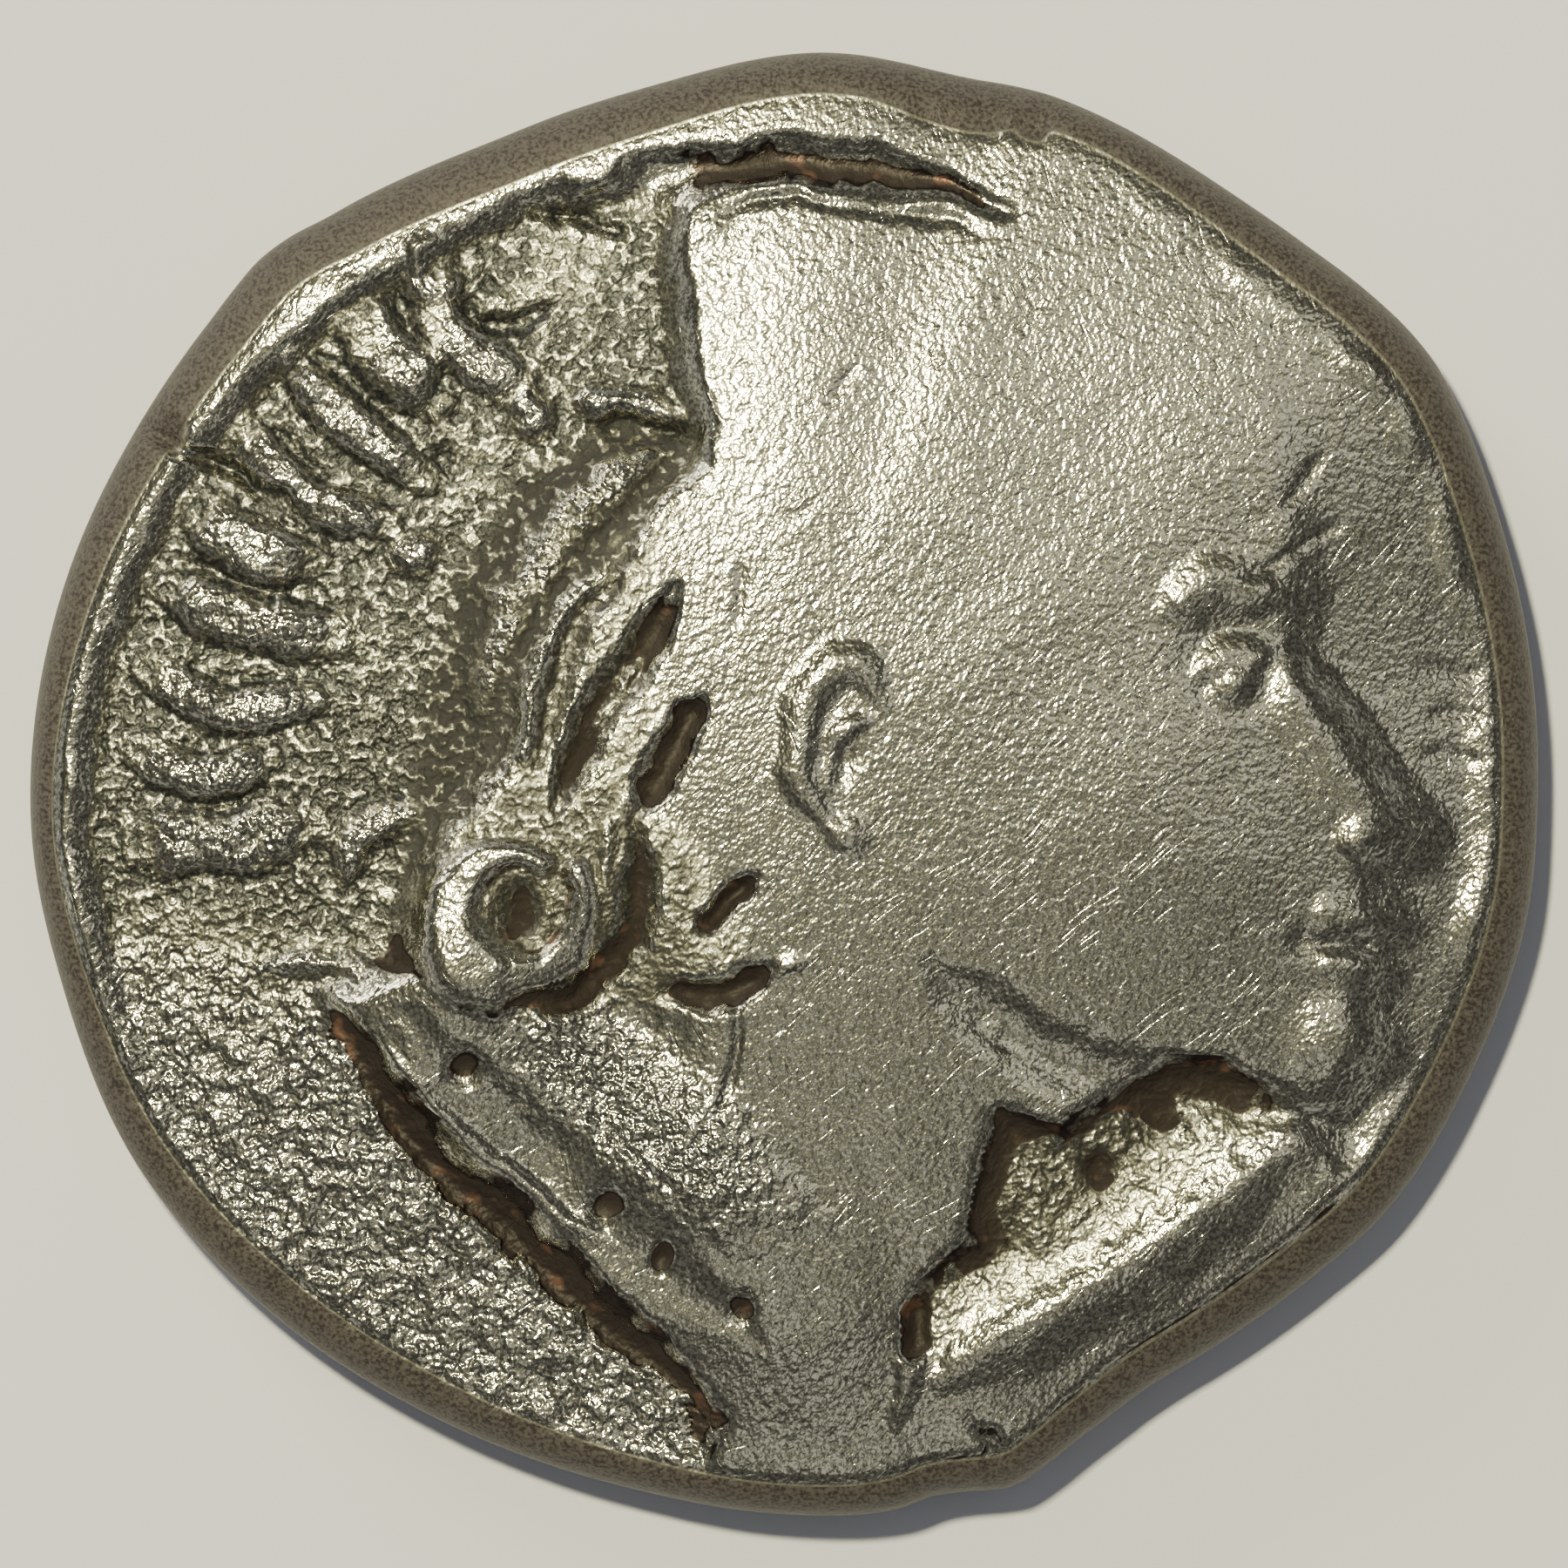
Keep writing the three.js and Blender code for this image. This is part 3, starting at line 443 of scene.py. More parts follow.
def smooth_path(points, closed=False, steps=8):
    """Samples of a smooth curve through the points."""
    knots = np.array(points, float)
    if closed:
        knots = np.vstack((knots[-1:], knots, knots[:2]))
    else:
        knots = np.vstack((knots[:1], knots, knots[-1:]))
    t = np.linspace(0, 1, steps, endpoint=False)[:, None]
    pieces = []
    for i in range(1, len(knots) - 2):
        a, b, c, d = knots[i - 1:i + 3]
        bend = (2 * a - 5 * b + 4 * c - d) * t ** 2 + (3 * b - a - 3 * c + d) * t ** 3
        pieces.append(b + 0.5 * ((c - a) * t + bend))
    return np.vstack(pieces + [knots[-2:-1]])


def near_path(x, y, path, reach):
    """The places near a path, with their distance from it and the share of the way along it."""
    low = path.min(axis=0) - reach
    high = path.max(axis=0) + reach
    picked = np.flatnonzero((x > low[0]) & (x < high[0]) & (y > low[1]) & (y < high[1]))
    px, py = x[picked], y[picked]
    nearest = np.full(picked.size, np.inf)
    along = np.zeros(picked.size)
    for i in range(len(path) - 1):
        start, step = path[i], path[i + 1] - path[i]
        t = np.clip(((px - start[0]) * step[0] + (py - start[1]) * step[1]) / (step @ step), 0, 1)
        gap = np.hypot(px - start[0] - t * step[0], py - start[1] - t * step[1])
        closer = gap < nearest
        nearest[closer] = gap[closer]
        along[closer] = (i + t[closer]) / (len(path) - 1)
    return picked, nearest, along


def area_mask(x, y, points, softness):
    """1 inside a closed area and 0 outside, with a soft wall along its boundary."""
    boundary = np.array(points + points[:1], float)
    inside = np.zeros(x.size, bool)
    for (ax, ay), (bx, by) in zip(boundary[:-1], boundary[1:]):
        if ay != by:
            crossed = ((ay > y) != (by > y)) & (x < (bx - ax) * (y - ay) / (by - ay) + ax)
            inside ^= crossed
    mask = inside.astype(float)
    picked, gap, _ = near_path(x, y, boundary, softness)
    signed = np.where(inside[picked], gap, -gap)
    mask[picked] = smooth_step(0.5 + signed / (2 * softness))
    return mask


def cut_section(distance):
    """A cut's section: a round bottom between crisp edges."""
    return np.clip(1 - distance * distance, 0, 1) ** CUT_POWER


def blunt(distance):
    """A worn stroke's section: a broad low top between short flanks."""
    return np.clip(1 - distance ** 4, 0, 1) ** 2


def add_strand(levels, x, y, path, half, rise, section=rounded, end_width=END_WIDTH):
    """Adds a strand along a path to the levels, thinner and lower towards its ends."""
    picked, gap, along = near_path(x, y, path, half)
    full = smooth_step(np.minimum(along, 1 - along) / TAPER)
    width = end_width + (1 - end_width) * full
    height = END_RISE + (1 - END_RISE) * full
    levels[picked] += rise * height * section(gap / (half * width))


def lattice_noise(x, y, cell, seed, stretch=1.0, turn=0.0):
    """Smooth seeded random values from -1 to 1, in cells that may be stretched along a direction."""
    size = LATTICE_SIZE
    lattice = np.random.default_rng(seed).uniform(-1, 1, (size, size))
    along = (x * math.cos(turn) + y * math.sin(turn)) / (cell * stretch) + size
    across = (y * math.cos(turn) - x * math.sin(turn)) / cell + size
    i, j = np.floor(along).astype(int), np.floor(across).astype(int)
    u, v = smooth_step(along - i), smooth_step(across - j)
    low = lattice[i % size, j % size] * (1 - u) + lattice[(i + 1) % size, j % size] * u
    high = lattice[i % size, (j + 1) % size] * (1 - u) + lattice[(i + 1) % size, (j + 1) % size] * u
    return low * (1 - v) + high * v


def curl_path():
    """The curl at the nape, as a spiral that winds out."""
    t = np.linspace(0, 1, CURL_STEPS)
    angle = np.radians(CURL["start"] + CURL["sweep"] * t)
    radius = CURL["inner"] + (CURL["outer"] - CURL["inner"]) * t
    return np.column_stack((CURL["at"][0] + radius * np.cos(angle), CURL["at"][1] + radius * np.sin(angle)))


def add_curl(levels, x, y):
    """Adds the curl to the levels, a worn low ridge that is fat at its left, and returns its mask."""
    picked, gap, along = near_path(x, y, curl_path(), CURL["half"] + CURL["fat"])
    half = CURL["half"] + CURL["fat"] * np.sin(np.pi * along) ** 2
    levels[picked] += WORN_HEIGHT * CURL_RISE * blunt(gap / half)
    on_curl = np.zeros(x.size)
    on_curl[picked] = np.sqrt(rounded(gap / half))
    return on_curl


def stroke_path(index):
    """One stroke of the row: a gently bent line that runs in from the rim."""
    t = (index + 0.5) / STROKE_COUNT
    angle = math.radians(STROKE_BAND["first"] + (STROKE_BAND["last"] - STROKE_BAND["first"]) * t)
    shortened = STROKE_BAND["shortened"] if index % SHORT_EVERY == 1 else 0
    inner, outer = STROKE_BAND["inner"] + shortened, STROKE_BAND["outer"]
    bent = angle + STROKE_BAND["bend"] + BEND_SWING * math.cos(BEND_BEAT * index)
    middle = (inner + outer) / 2
    return smooth_path([
        (inner * math.cos(angle), inner * math.sin(angle)),
        (middle * math.cos(bent), middle * math.sin(bent)),
        (outer * math.cos(angle), outer * math.sin(angle)),
    ])


def beside_line(x, y, start, end, width):
    """How far places lie to the left of a line, from 0 on the line to 1 at the width."""
    step = np.subtract(end, start)
    across = (step[0] * (y - start[1]) - step[1] * (x - start[0])) / np.hypot(*step)
    return np.clip(across / width, 0, 1)


def add_marks(levels, x, y, marks, height=1.0):
    """Adds round marks to the levels."""
    for (mx, my), size, rise in marks:
        levels += height * rise * rounded(np.hypot(x - mx, y - my) / size)


def wandered(x, y):
    """Places on the obverse, moved a little."""
    moved_x, moved_y = x, y
    for share, swing, seed_x, seed_y in WANDERINGS:
        moved_x = moved_x + share * lattice_noise(x, y, swing, seed_x)
        moved_y = moved_y + share * lattice_noise(x, y, swing, seed_y)
    return moved_x, moved_y


def sunken_areas(x, y):
    """Masks of the left field, the field before the face, and the hollow."""
    field = area_mask(x, y, FIELD, FIELD_SOFTNESS)
    face_field = area_mask(x, y, FACE_FIELD, FACE_FIELD_SOFTNESS)
    face_field *= smooth_step((FACE_FIELD_TOP - y) / FACE_FIELD_FADE)
    hollow = area_mask(x, y, HOLLOW, HOLLOW_SOFTNESS) * beside_line(x, y, *FOLD_SLOPE)
    return field, face_field, hollow


def add_lines(levels, x, y):
    """Adds the ridges, grooves and cracks to the levels."""
    for points, half, rise in RIDGES:
        add_strand(levels, x, y, smooth_path(points), WORN_SPREAD * half, WORN_HEIGHT * rise)
    for points, half, rise in THIN_RIDGES:
        add_strand(levels, x, y, smooth_path(points), half, rise)
    for points, half, depth in GROOVES + HAIRLINES:
        section = cut_section if half < BROAD_CUT else rounded
        add_strand(levels, x, y, smooth_path(points), half, -depth, section)


def add_strokes(levels, x, y):
    """Adds the row of plain strokes to the levels, each in a shallow trough."""
    for index in range(STROKE_COUNT):
        half = STROKE_WIDTH * SHARE_OF_MM / 2 * (1 + WIDTH_SWING * math.sin(WIDTH_BEAT * index))
        add_strand(levels, x, y, stroke_path(index), TROUGH_SPREAD * half, -TROUGH_DEPTH)
        add_strand(levels, x, y, stroke_path(index), WORN_SPREAD * half, WORN_HEIGHT * STROKE_RISE, blunt,
                   STROKE_ENDS)


def obverse_levels(place_x, place_y):
    """Levels of the obverse in mm, and masks of its areas by name."""
    angle = np.arctan2(place_y, place_x)
    radius = np.hypot(place_x, place_y)
    border = border_radius(angle)
    dome = DOME_RISE * (1 - (radius / border) ** 2)
    levels = BORDER_LEVEL + dome
    kept_lip = LIP_LEAST + (1 - LIP_LEAST) * lattice_noise(place_x, place_y, *LIP_PATTERN)
    worn_lip = rim_lip(angle) * kept_lip
    levels += RIM_LIP_RISE * worn_lip * rounded((border - radius - LIP_INSET) / LIP_HALF)
    x, y = wandered(place_x, place_y)
    field, face_field, hollow = sunken_areas(x, y)
    levels -= field * (FIELD_DEPTH + FIELD_FLATNESS * dome)
    levels -= FACE_FIELD_DEPTH * face_field + HOLLOW_DEPTH * hollow
    scoop = np.hypot(x - SCOOP["at"][0], y - SCOOP["at"][1]) / SCOOP["radius"]
    levels -= SCOOP_DEPTH * rounded(scoop)
    add_lines(levels, x, y)
    add_marks(levels, x, y, BROAD_FORMS)
    on_curl = add_curl(levels, x, y)
    add_strokes(levels, x, y)
    add_marks(levels, x, y, MARKS, WORN_HEIGHT)
    add_marks(levels, x, y, FACE_FORMS)
    broken = np.zeros(x.size)
    add_marks(broken, x, y, CHIPS)
    levels -= broken
    levels -= SEAM_DEPTH * seam(angle) * rounded((border - radius) / SEAM_HALF)
    strip = np.zeros(x.size)
    add_strand(strip, x, y, smooth_path(STRIP[0]), STRIP[1], 1)
    return levels, {
        "field": field,
        "hollow": hollow,
        "hair": area_mask(x, y, HAIR, HAIR_SOFTNESS) * (1 - on_curl),
        "strip": strip,
        "broken": np.clip(broken / FULL_CHIP, 0, 1),
    }


def worn_strokes(x, y):
    """Lumps of the worn strokes, in mm."""
    radius, angle = np.hypot(x, y), np.degrees(np.arctan2(y, x)) % 360
    in_band = smooth_step((radius - WORN_BAND["inner"]) / WORN_BAND["fade"])
    in_band *= smooth_step((WORN_BAND["outer"] - radius) / WORN_BAND["fade"])
    in_band *= (angle > STROKE_BAND["first"]) & (angle < STROKE_BAND["last"])
    lumps = LUMPS["stroke"] * lattice_noise(x, y, *STROKE_PATTERN)
    lumps += LUMPS["fine_stroke"] * lattice_noise(x, y, *FINE_STROKE_PATTERN)
    return in_band * lumps


def worn_surface(x, y, areas):
    """Small lumps and pits of the worn metal in mm: coarse in the fields, fine on the high metal."""
    coarse, fine = lattice_noise(x, y, *COARSE_PATTERN), lattice_noise(x, y, *FINE_PATTERN)
    lumps = LUMP_SHARE * coarse + LUMP_SHARE * fine
    streaks = lattice_noise(x, y, *STREAK_PATTERN, stretch=STREAK_STRETCH, turn=STREAK_TURN)
    swell = lattice_noise(x, y, *SWELL_PATTERN)
    lower_field = smooth_step(-y / LOWER_FIELD_FADE) * areas["field"]
    height = areas["field"] * (LUMPS["field"] + LUMPS["lower_field"] * lower_field)
    for name in ("hollow", "strip", "hair"):
        height = height + LUMPS[name] * areas[name]
    surface = height * lumps + worn_strokes(x, y)
    return surface + LUMPS["streaks"] * streaks + LUMPS["swell"] * swell


def reverse_levels(x, y):
    """Levels of the reverse in mm: a dish with a worn star and a ring of dots, never below the land."""
    x = x + REVERSE_WANDER * lattice_noise(x, y, REVERSE_SWING, REVERSE_SEEDS[0])
    y = y + REVERSE_WANDER * lattice_noise(x, y, REVERSE_SWING, REVERSE_SEEDS[1])
    radius = np.hypot(x, y)
    angle = np.arctan2(y, x)
    kept = 1 - REVERSE_WEAR + REVERSE_WEAR * lattice_noise(x, y, *REVERSE_WEAR_PATTERN)
    dish_radius = land_radius(angle) - LAND_WIDTH * SHARE_OF_MM
    dish = DISH_DEPTH * (1 - np.clip(radius / dish_radius, 0, 1) ** 2)
    sector = 2 * math.pi / STAR_RAYS
    off_ray = np.abs(angle / sector - np.round(angle / sector)) * sector * radius
    fade = smooth_step((STAR_RADIUS * SHARE_OF_MM - radius) / (RAY_FADE * SHARE_OF_MM))
    ray = np.maximum(rounded(off_ray / (RAY_HALF * SHARE_OF_MM)) * fade, rounded(radius / BOSS_RADIUS))
    step = 2 * math.pi / DOT_COUNT
    off_dot = (angle / step - np.round(angle / step)) * step * radius
    dot = rounded(np.hypot(off_dot, radius - DOT_PLACE * dish_radius) / DOT_RADIUS)
    device = kept * (STAR_RISE * ray + DOT_RISE * dot)
    grain = sum(height * lattice_noise(x, y, cell, seed) for height, cell, seed in REVERSE_GRAIN)
    inside = smooth_step((dish_radius - radius) / DISH_FADE)
    return np.maximum(dish - np.minimum(dish, device) + grain * inside, 0)


def ring_points(count, place):
    """One ring of vertices: place(angle) gives x and y in shares and the level in mm."""
    turn = 2 * math.pi * np.arange(count) / count
    angle = turn + CROWDING * np.sin(turn)
    return place(angle)


def obverse_rings():
    """Rings of places from the middle of the obverse to its border."""
    rings = []
    for k in range(OBVERSE_RINGS + 1):
        reach = k / OBVERSE_RINGS
        rings.append(ring_points(max(1, 6 * k), lambda angle: np.column_stack((
            reach * border_radius(angle) * np.cos(angle) + LEFT_SHIFT * (1 - reach ** 2),
            reach * border_radius(angle) * np.sin(angle),
        ))))
    return rings


def edge_rings(border_levels):
    """Rings of the edge: out from the border to the widest line, and in again to the land."""
    count = 6 * OBVERSE_RINGS
    rings = []

    def ring(inset, level):
        def place(angle):
            radius = outline_radius(angle) - inset(angle)
            return np.column_stack((radius * np.cos(angle), radius * np.sin(angle), level))
        rings.append(ring_points(count, place))

    for step in range(1, EDGE_STEPS + 1):
        turn_in = math.pi / 2 * step / EDGE_STEPS
        level = EDGE_LEVEL + (border_levels - EDGE_LEVEL) * math.cos(turn_in)
        ring(lambda angle: upper_round(angle) * (1 - math.sin(turn_in)), level)
    for step in range(1, EDGE_STEPS):
        turn_in = math.pi / 2 * step / EDGE_STEPS
        level = np.full(count, EDGE_LEVEL * (1 - math.sin(turn_in)))
        ring(lambda angle: np.full(count, LOWER_ROUND * SHARE_OF_MM * (1 - math.cos(turn_in))), level)
    return rings


def reverse_rings():
    """Rings of the reverse, from the land's outer line in to the middle of the dish."""
    rings = []
    for k in range(REVERSE_RINGS, -1, -1):
        reach = k / REVERSE_RINGS
        places = ring_points(max(1, 6 * k), lambda angle: np.column_stack((
            reach * land_radius(angle) * np.cos(angle),
            reach * land_radius(angle) * np.sin(angle),
        )))
        rings.append(np.column_stack((places, reverse_levels(places[:, 0], places[:, 1]))))
    return rings


def join_rings(start_a, count_a, start_b, count_b):
    """Triangles between two rings, whatever their numbers of vertices."""
    steps = np.concatenate(((np.arange(count_a) + 1) / count_a, (np.arange(count_b) + 1) / count_b))
    order = np.argsort(steps, kind="stable")
    from_a = order < count_a
    i = np.cumsum(from_a) - from_a
    j = np.cumsum(~from_a) - ~from_a
    first = start_a + i % count_a
    second = start_b + j % count_b
    third = np.where(from_a, start_a + (i + 1) % count_a, start_b + (j + 1) % count_b)
    triangles = np.column_stack((first, second, third))
    return triangles[(first != third) & (second != third)]


def smoothed(values, edges, rounds):
    """Values averaged with their neighbours along the edges, again and again."""
    count = values.size
    both = np.concatenate((edges[:, 0], edges[:, 1]))
    other = np.concatenate((edges[:, 1], edges[:, 0]))
    degree = np.bincount(both, minlength=count)
    for _ in range(rounds):
        values = (values + np.bincount(both, values[other], count)) / (degree + 1)
    return values


def stands_out(level, edges, rounds, least, span):
    """How far vertices stand above their surroundings, as a share of a span in mm."""
    return np.clip((level - smoothed(level, edges, rounds) - least) / span, 0, 1)


def vertex_slopes(mesh):
    """Degrees between each vertex's normal and straight up."""
    normals = np.empty(3 * len(mesh.vertices))
    mesh.vertices.foreach_get("normal", normals)
    return np.degrees(np.arccos(np.clip(normals[2::3], -1, 1)))


def clean_area(x, y, outline, softness, gain):
    """An area and its surroundings, where the tarnish is worn away."""
    return np.clip(gain * area_mask(x, y, outline, softness), 0, 1)


def coin_masks(mesh, points, areas, border_count, edge_count):
    """Where each look of the metal lies: one value for each vertex."""
    edges = np.array([edge.vertices[:] for edge in mesh.edges])
    level = points[:, 2]
    obverse_count = areas["field"].size
    x, y = points[:obverse_count, 0], points[:obverse_count, 1]

    def on_whole(values):
        return np.concatenate((values, np.zeros(len(points) - obverse_count)))

    on_edge = on_whole(areas["broken"])
    on_edge[obverse_count - border_count:obverse_count + edge_count] = 1
    field, hollow, hair = areas["field"], areas["hollow"], areas["hair"]
    upper = smooth_step((y - SHADED_SLATE_FROM + SHADED_SLATE_WAVER * lattice_noise(x, y, *SHADED_SLATE_PATTERN)) / SHADED_SLATE_FADE)
    standing = stands_out(level, edges, *STANDING)[:obverse_count]
    clean_field = clean_area(x, y, FIELD, *CLEAN_FIELD) * upper
    clean = np.maximum(clean_field, clean_area(x, y, FACE_FIELD, *CLEAN_FACE))
    steep = np.clip((vertex_slopes(mesh) - STEEP_FROM) / STEEP_SPAN, 0, 1)
    near_cavity = stands_out(-level, edges, *NEAR_CAVITY)
    far_cavity = stands_out(-level, edges, *FAR_CAVITY)
    at_top = smooth_step((y - TOP_FROM) / TOP_FADE)
    far_cavity *= on_whole(1 - HAIR_CAVITY_CUT * np.maximum(hair, at_top))
    cavity = np.clip(NEAR_SHARE * near_cavity + FAR_SHARE * far_cavity, 0, 1)
    rough_field = field * (1 - UPPER_CUT * smooth_step(y / UPPER_FADE))
    return {
        "steep": steep * on_whole(1 - np.maximum(clean, HAIR_STEEP_CUT * hair)),
        "cavity": cavity * (1 - on_edge) * on_whole(1 - CLEAN_CUT * clean),
        # The hair and the hollow's low floor take a dark grey of patina and painted shade
        "hair": on_whole(np.clip(hair + hollow * (1 - standing), 0, 1)),
        "rough": on_whole(hollow + STRIP_ROUGH * areas["strip"] + HAIR_ROUGH * hair + rough_field),
        "crest": stands_out(level, edges, *CREST) * (1 - on_edge),
        # The upper field's slate: patina and painted shade
        "shaded_slate": on_whole(field * upper * (1 - standing)),
        "edge": on_edge,
    }


def coin_mesh():
    """The whole coin as one closed mesh, with its masks as vertex attributes."""
    rings = obverse_rings()
    places = np.vstack(rings)
    x, y = places[:, 0], places[:, 1]
    levels, areas = obverse_levels(x, y)
    levels += worn_surface(x, y, areas)
    border_count = len(rings[-1])
    edge = edge_rings(levels[-border_count:])
    others = edge + reverse_rings()
    points = np.vstack([np.column_stack((x, y, levels))] + others)
    counts = [len(ring) for ring in rings + others]
    starts = np.concatenate(([0], np.cumsum(counts)[:-1]))
    triangles = np.vstack([
        join_rings(starts[k], counts[k], starts[k + 1], counts[k + 1]) for k in range(len(counts) - 1)
    ])
    mesh = bpy.data.meshes.new("coin_struck")
    mesh.from_pydata((points * (HALF_WIDTH, HALF_WIDTH, MM)).tolist(), [], triangles.tolist())
    mesh.update()
    mesh.shade_smooth()
    edge_count = sum(len(ring) for ring in edge)
    for name, values in coin_masks(mesh, points, areas, border_count, edge_count).items():
        mesh.attributes.new(name, "FLOAT", "POINT").data.foreach_set("value", values.astype(np.float32))
    return mesh


class Nodes:
    """A material's node tree, with short calls for the nodes that it needs."""

    def __init__(self, name):
        self.material = bpy.data.materials.new(name)
        self.material.use_nodes = True
        self.tree = self.material.node_tree
        self.shader = self.tree.nodes["Principled BSDF"]

    def put(self, kind, inputs=(), **settings):
        """A node with its settings, and inputs that are either values or other nodes' outputs."""
        node = self.tree.nodes.new(kind)
        for key, value in settings.items():
            setattr(node, key, value)
        for key, value in dict(inputs).items():
            if isinstance(value, bpy.types.NodeSocket):
                self.tree.links.new(value, node.inputs[key])
            else:
                node.inputs[key].default_value = value
        return node

    def mask(self, name):
        """One of the mesh's masks."""
        return self.put("ShaderNodeAttribute", attribute_name=name).outputs["Fac"]

    def place(self, scale=(1, 1, 1), turn=0.0):
        """Object coordinates, turned about the thickness and then stretched."""
        source = self.put("ShaderNodeTexCoord").outputs["Object"]
        turned = self.put("ShaderNodeMapping", {"Vector": source, "Rotation": (0, 0, turn)})
        return self.put("ShaderNodeMapping", {"Vector": turned.outputs[0], "Scale": scale}).outputs[0]

    def noise(self, size_mm, detail=2.0, roughness=0.5, vector=None):
        """A noise with lumps of about that size."""
        inputs = {"Vector": vector or self.place(), "Scale": 1 / (size_mm * MM), "Detail": detail,
                  "Roughness": roughness}
        return self.put("ShaderNodeTexNoise", inputs).outputs["Fac"]

    def between(self, value, low, high, to_low=0.0, to_high=1.0):
        """Maps a value from one range to another, and holds it there."""
        inputs = {"Value": value, "From Min": low, "From Max": high, "To Min": to_low, "To Max": to_high}
        return self.put("ShaderNodeMapRange", inputs, clamp=True).outputs[0]

    def math(self, operation, a, b=0.0):
        """Arithmetic on two values."""
        return self.put("ShaderNodeMath", {0: a, 1: b}, operation=operation).outputs[0]

    def vector_math(self, operation, a, b):
        """Arithmetic on two vectors."""
        return self.put("ShaderNodeVectorMath", {0: a, 1: b}, operation=operation).outputs[0]

    def mix_colour(self, amount, a, b):
        """One colour turning into another. A colour mix has its factor at 0 and its colours at 6 and 7."""
        return self.put("ShaderNodeMix", {0: amount, 6: a, 7: b}, data_type="RGBA").outputs[2]

    def bump(self, height, distance_mm, normal=None):
        """A bump of the surface from a height."""
        inputs = {"Height": height, "Strength": 1.0, "Distance": distance_mm * MM}
        if normal is not None:
            inputs["Normal"] = normal
        return self.put("ShaderNodeBump", inputs).outputs[0]


SILVER = (0.80, 0.78, 0.64, 1)
DULL_SILVER = (0.27, 0.265, 0.222, 1)
# Slate of the upper field: patina, and painted shade standing for a field that tilts away from the light
SHADED_SLATE = (0.022, 0.023, 0.026, 1)
PALE_SHADED_SLATE = (0.055, 0.057, 0.06, 1)
BROWN = (0.028, 0.021, 0.021, 1)
COPPER = (0.12, 0.065, 0.05, 1)
# Dark grey of the hair and the hollow's floor: patina, and painted shade that keeps it from shining
HAIR_SHADED_GREY = (0.04, 0.039, 0.042, 1)
# The edge's brown and grey: toning with painted shade, kept dark although the pale floor lies beside it
EDGE_SHADED_BROWN = (0.038, 0.031, 0.034, 1)
EDGE_SHADED_GREY = (0.095, 0.085, 0.088, 1)


# Sizes of the metal's random patterns, in mm
MOTTLE_MM = 0.5
FINE_MM = 0.045
LUMP_MM = 0.11
COPPER_MM = 0.3
GRAIN_MM = 0.05
# Range of each pattern over which its look comes in
FLECK_RANGE = (0.52, 0.64)
DULL_RANGE = (0.42, 0.6)
COPPER_RANGE = (0.64, 0.78)
EDGE_RANGE = (0.35, 0.6)
TARNISH_RANGE = (0.68, 0.98)
# What steep slopes and the mottle add to the tarnish, and the share at which it hides the metal
STEEP_TARNISH = 0.6
MOTTLE_TARNISH = 0.4
TARNISH_OPAQUE = 0.4
# How bare flecks are beside crests, and each dark patina's cover, with its painted shade, where the metal
# is dull and bare
FLECK_BARE = 0.65
SHADED_SLATE_COVER = (1, 0.2)
HAIR_SHADED_COVER = (0.95, 0.1)
DULL_SHARE = 0.85
# Roughness of the metal over the range of the fine pattern, and what each patina adds to it
FINE_RANGE = (0.3, 0.7)
METAL_ROUGHNESS = (0.1, 0.18)
PATINA_ROUGHNESS = {"tarnish": 0.4, "edge": 0.4, "shaded_slate": 0.3, "hair": 0.32}
# The dark patinas with their painted shade count by this share as cover, and cover makes the metal dull
# from the least share on
DARK_SHARE = 0.6
LEAST_COVER = 0.35
LEAST_METALLIC = 0.2
SPECULAR_LEVEL = 0.3
# Heights of the bumps, in mm, and how the lumps' height grows with the roughness of the area
GRAIN_HEIGHT = 0.009
SCRATCH_HEIGHT = 0.0025
LUMP_HEIGHT = 0.04
LUMP_GROWTH = (0, 1.6, 0.2, 1.6)
# The grain is a little stretched along one direction
GRAIN_SCALE = (1.0, 0.7, 1.0)
GRAIN_TURN = math.radians(30)
# Sets of scratches: direction in degrees, and how rare they are
SCRATCH_SETS = [(40, 0.62), (112, 0.66)]
SCRATCH_MM = 0.05
SCRATCH_SCALE = (1.0, 0.05, 1.0)
SCRATCH_SOFTNESS = 0.08
SCRATCH_PATCHES = (0.47, 0.6)
# Scratches wander by up to this much, over this length
SCRATCH_SWING_MM = 0.3
SCRATCH_WANDER_MM = 0.9


def patina_covers(nodes, masks, patterns):
    """How much of each patina, some of them with painted shade, lies on the metal."""
    kept = nodes.math("ADD", masks["cavity"], nodes.math("MULTIPLY", masks["steep"], STEEP_TARNISH))
    mottled = nodes.math("ADD", kept, nodes.math("MULTIPLY", patterns["mottle"], MOTTLE_TARNISH))
    flecks = nodes.between(patterns["lumps"], *FLECK_RANGE)
    bare = nodes.math("ADD", masks["crest"], nodes.math("MULTIPLY", flecks, FLECK_BARE))
    return {
        "tarnish": nodes.between(mottled, *TARNISH_RANGE),
        "edge": masks["edge"],
        # Slate cover: patina and painted shade
        "shaded_slate": nodes.math("MULTIPLY", masks["shaded_slate"], nodes.between(bare, 0, 1, *SHADED_SLATE_COVER)),
        # Hair cover: patina and painted shade
        "hair": nodes.math("MULTIPLY", masks["hair"], nodes.between(bare, 0, 1, *HAIR_SHADED_COVER)),
    }


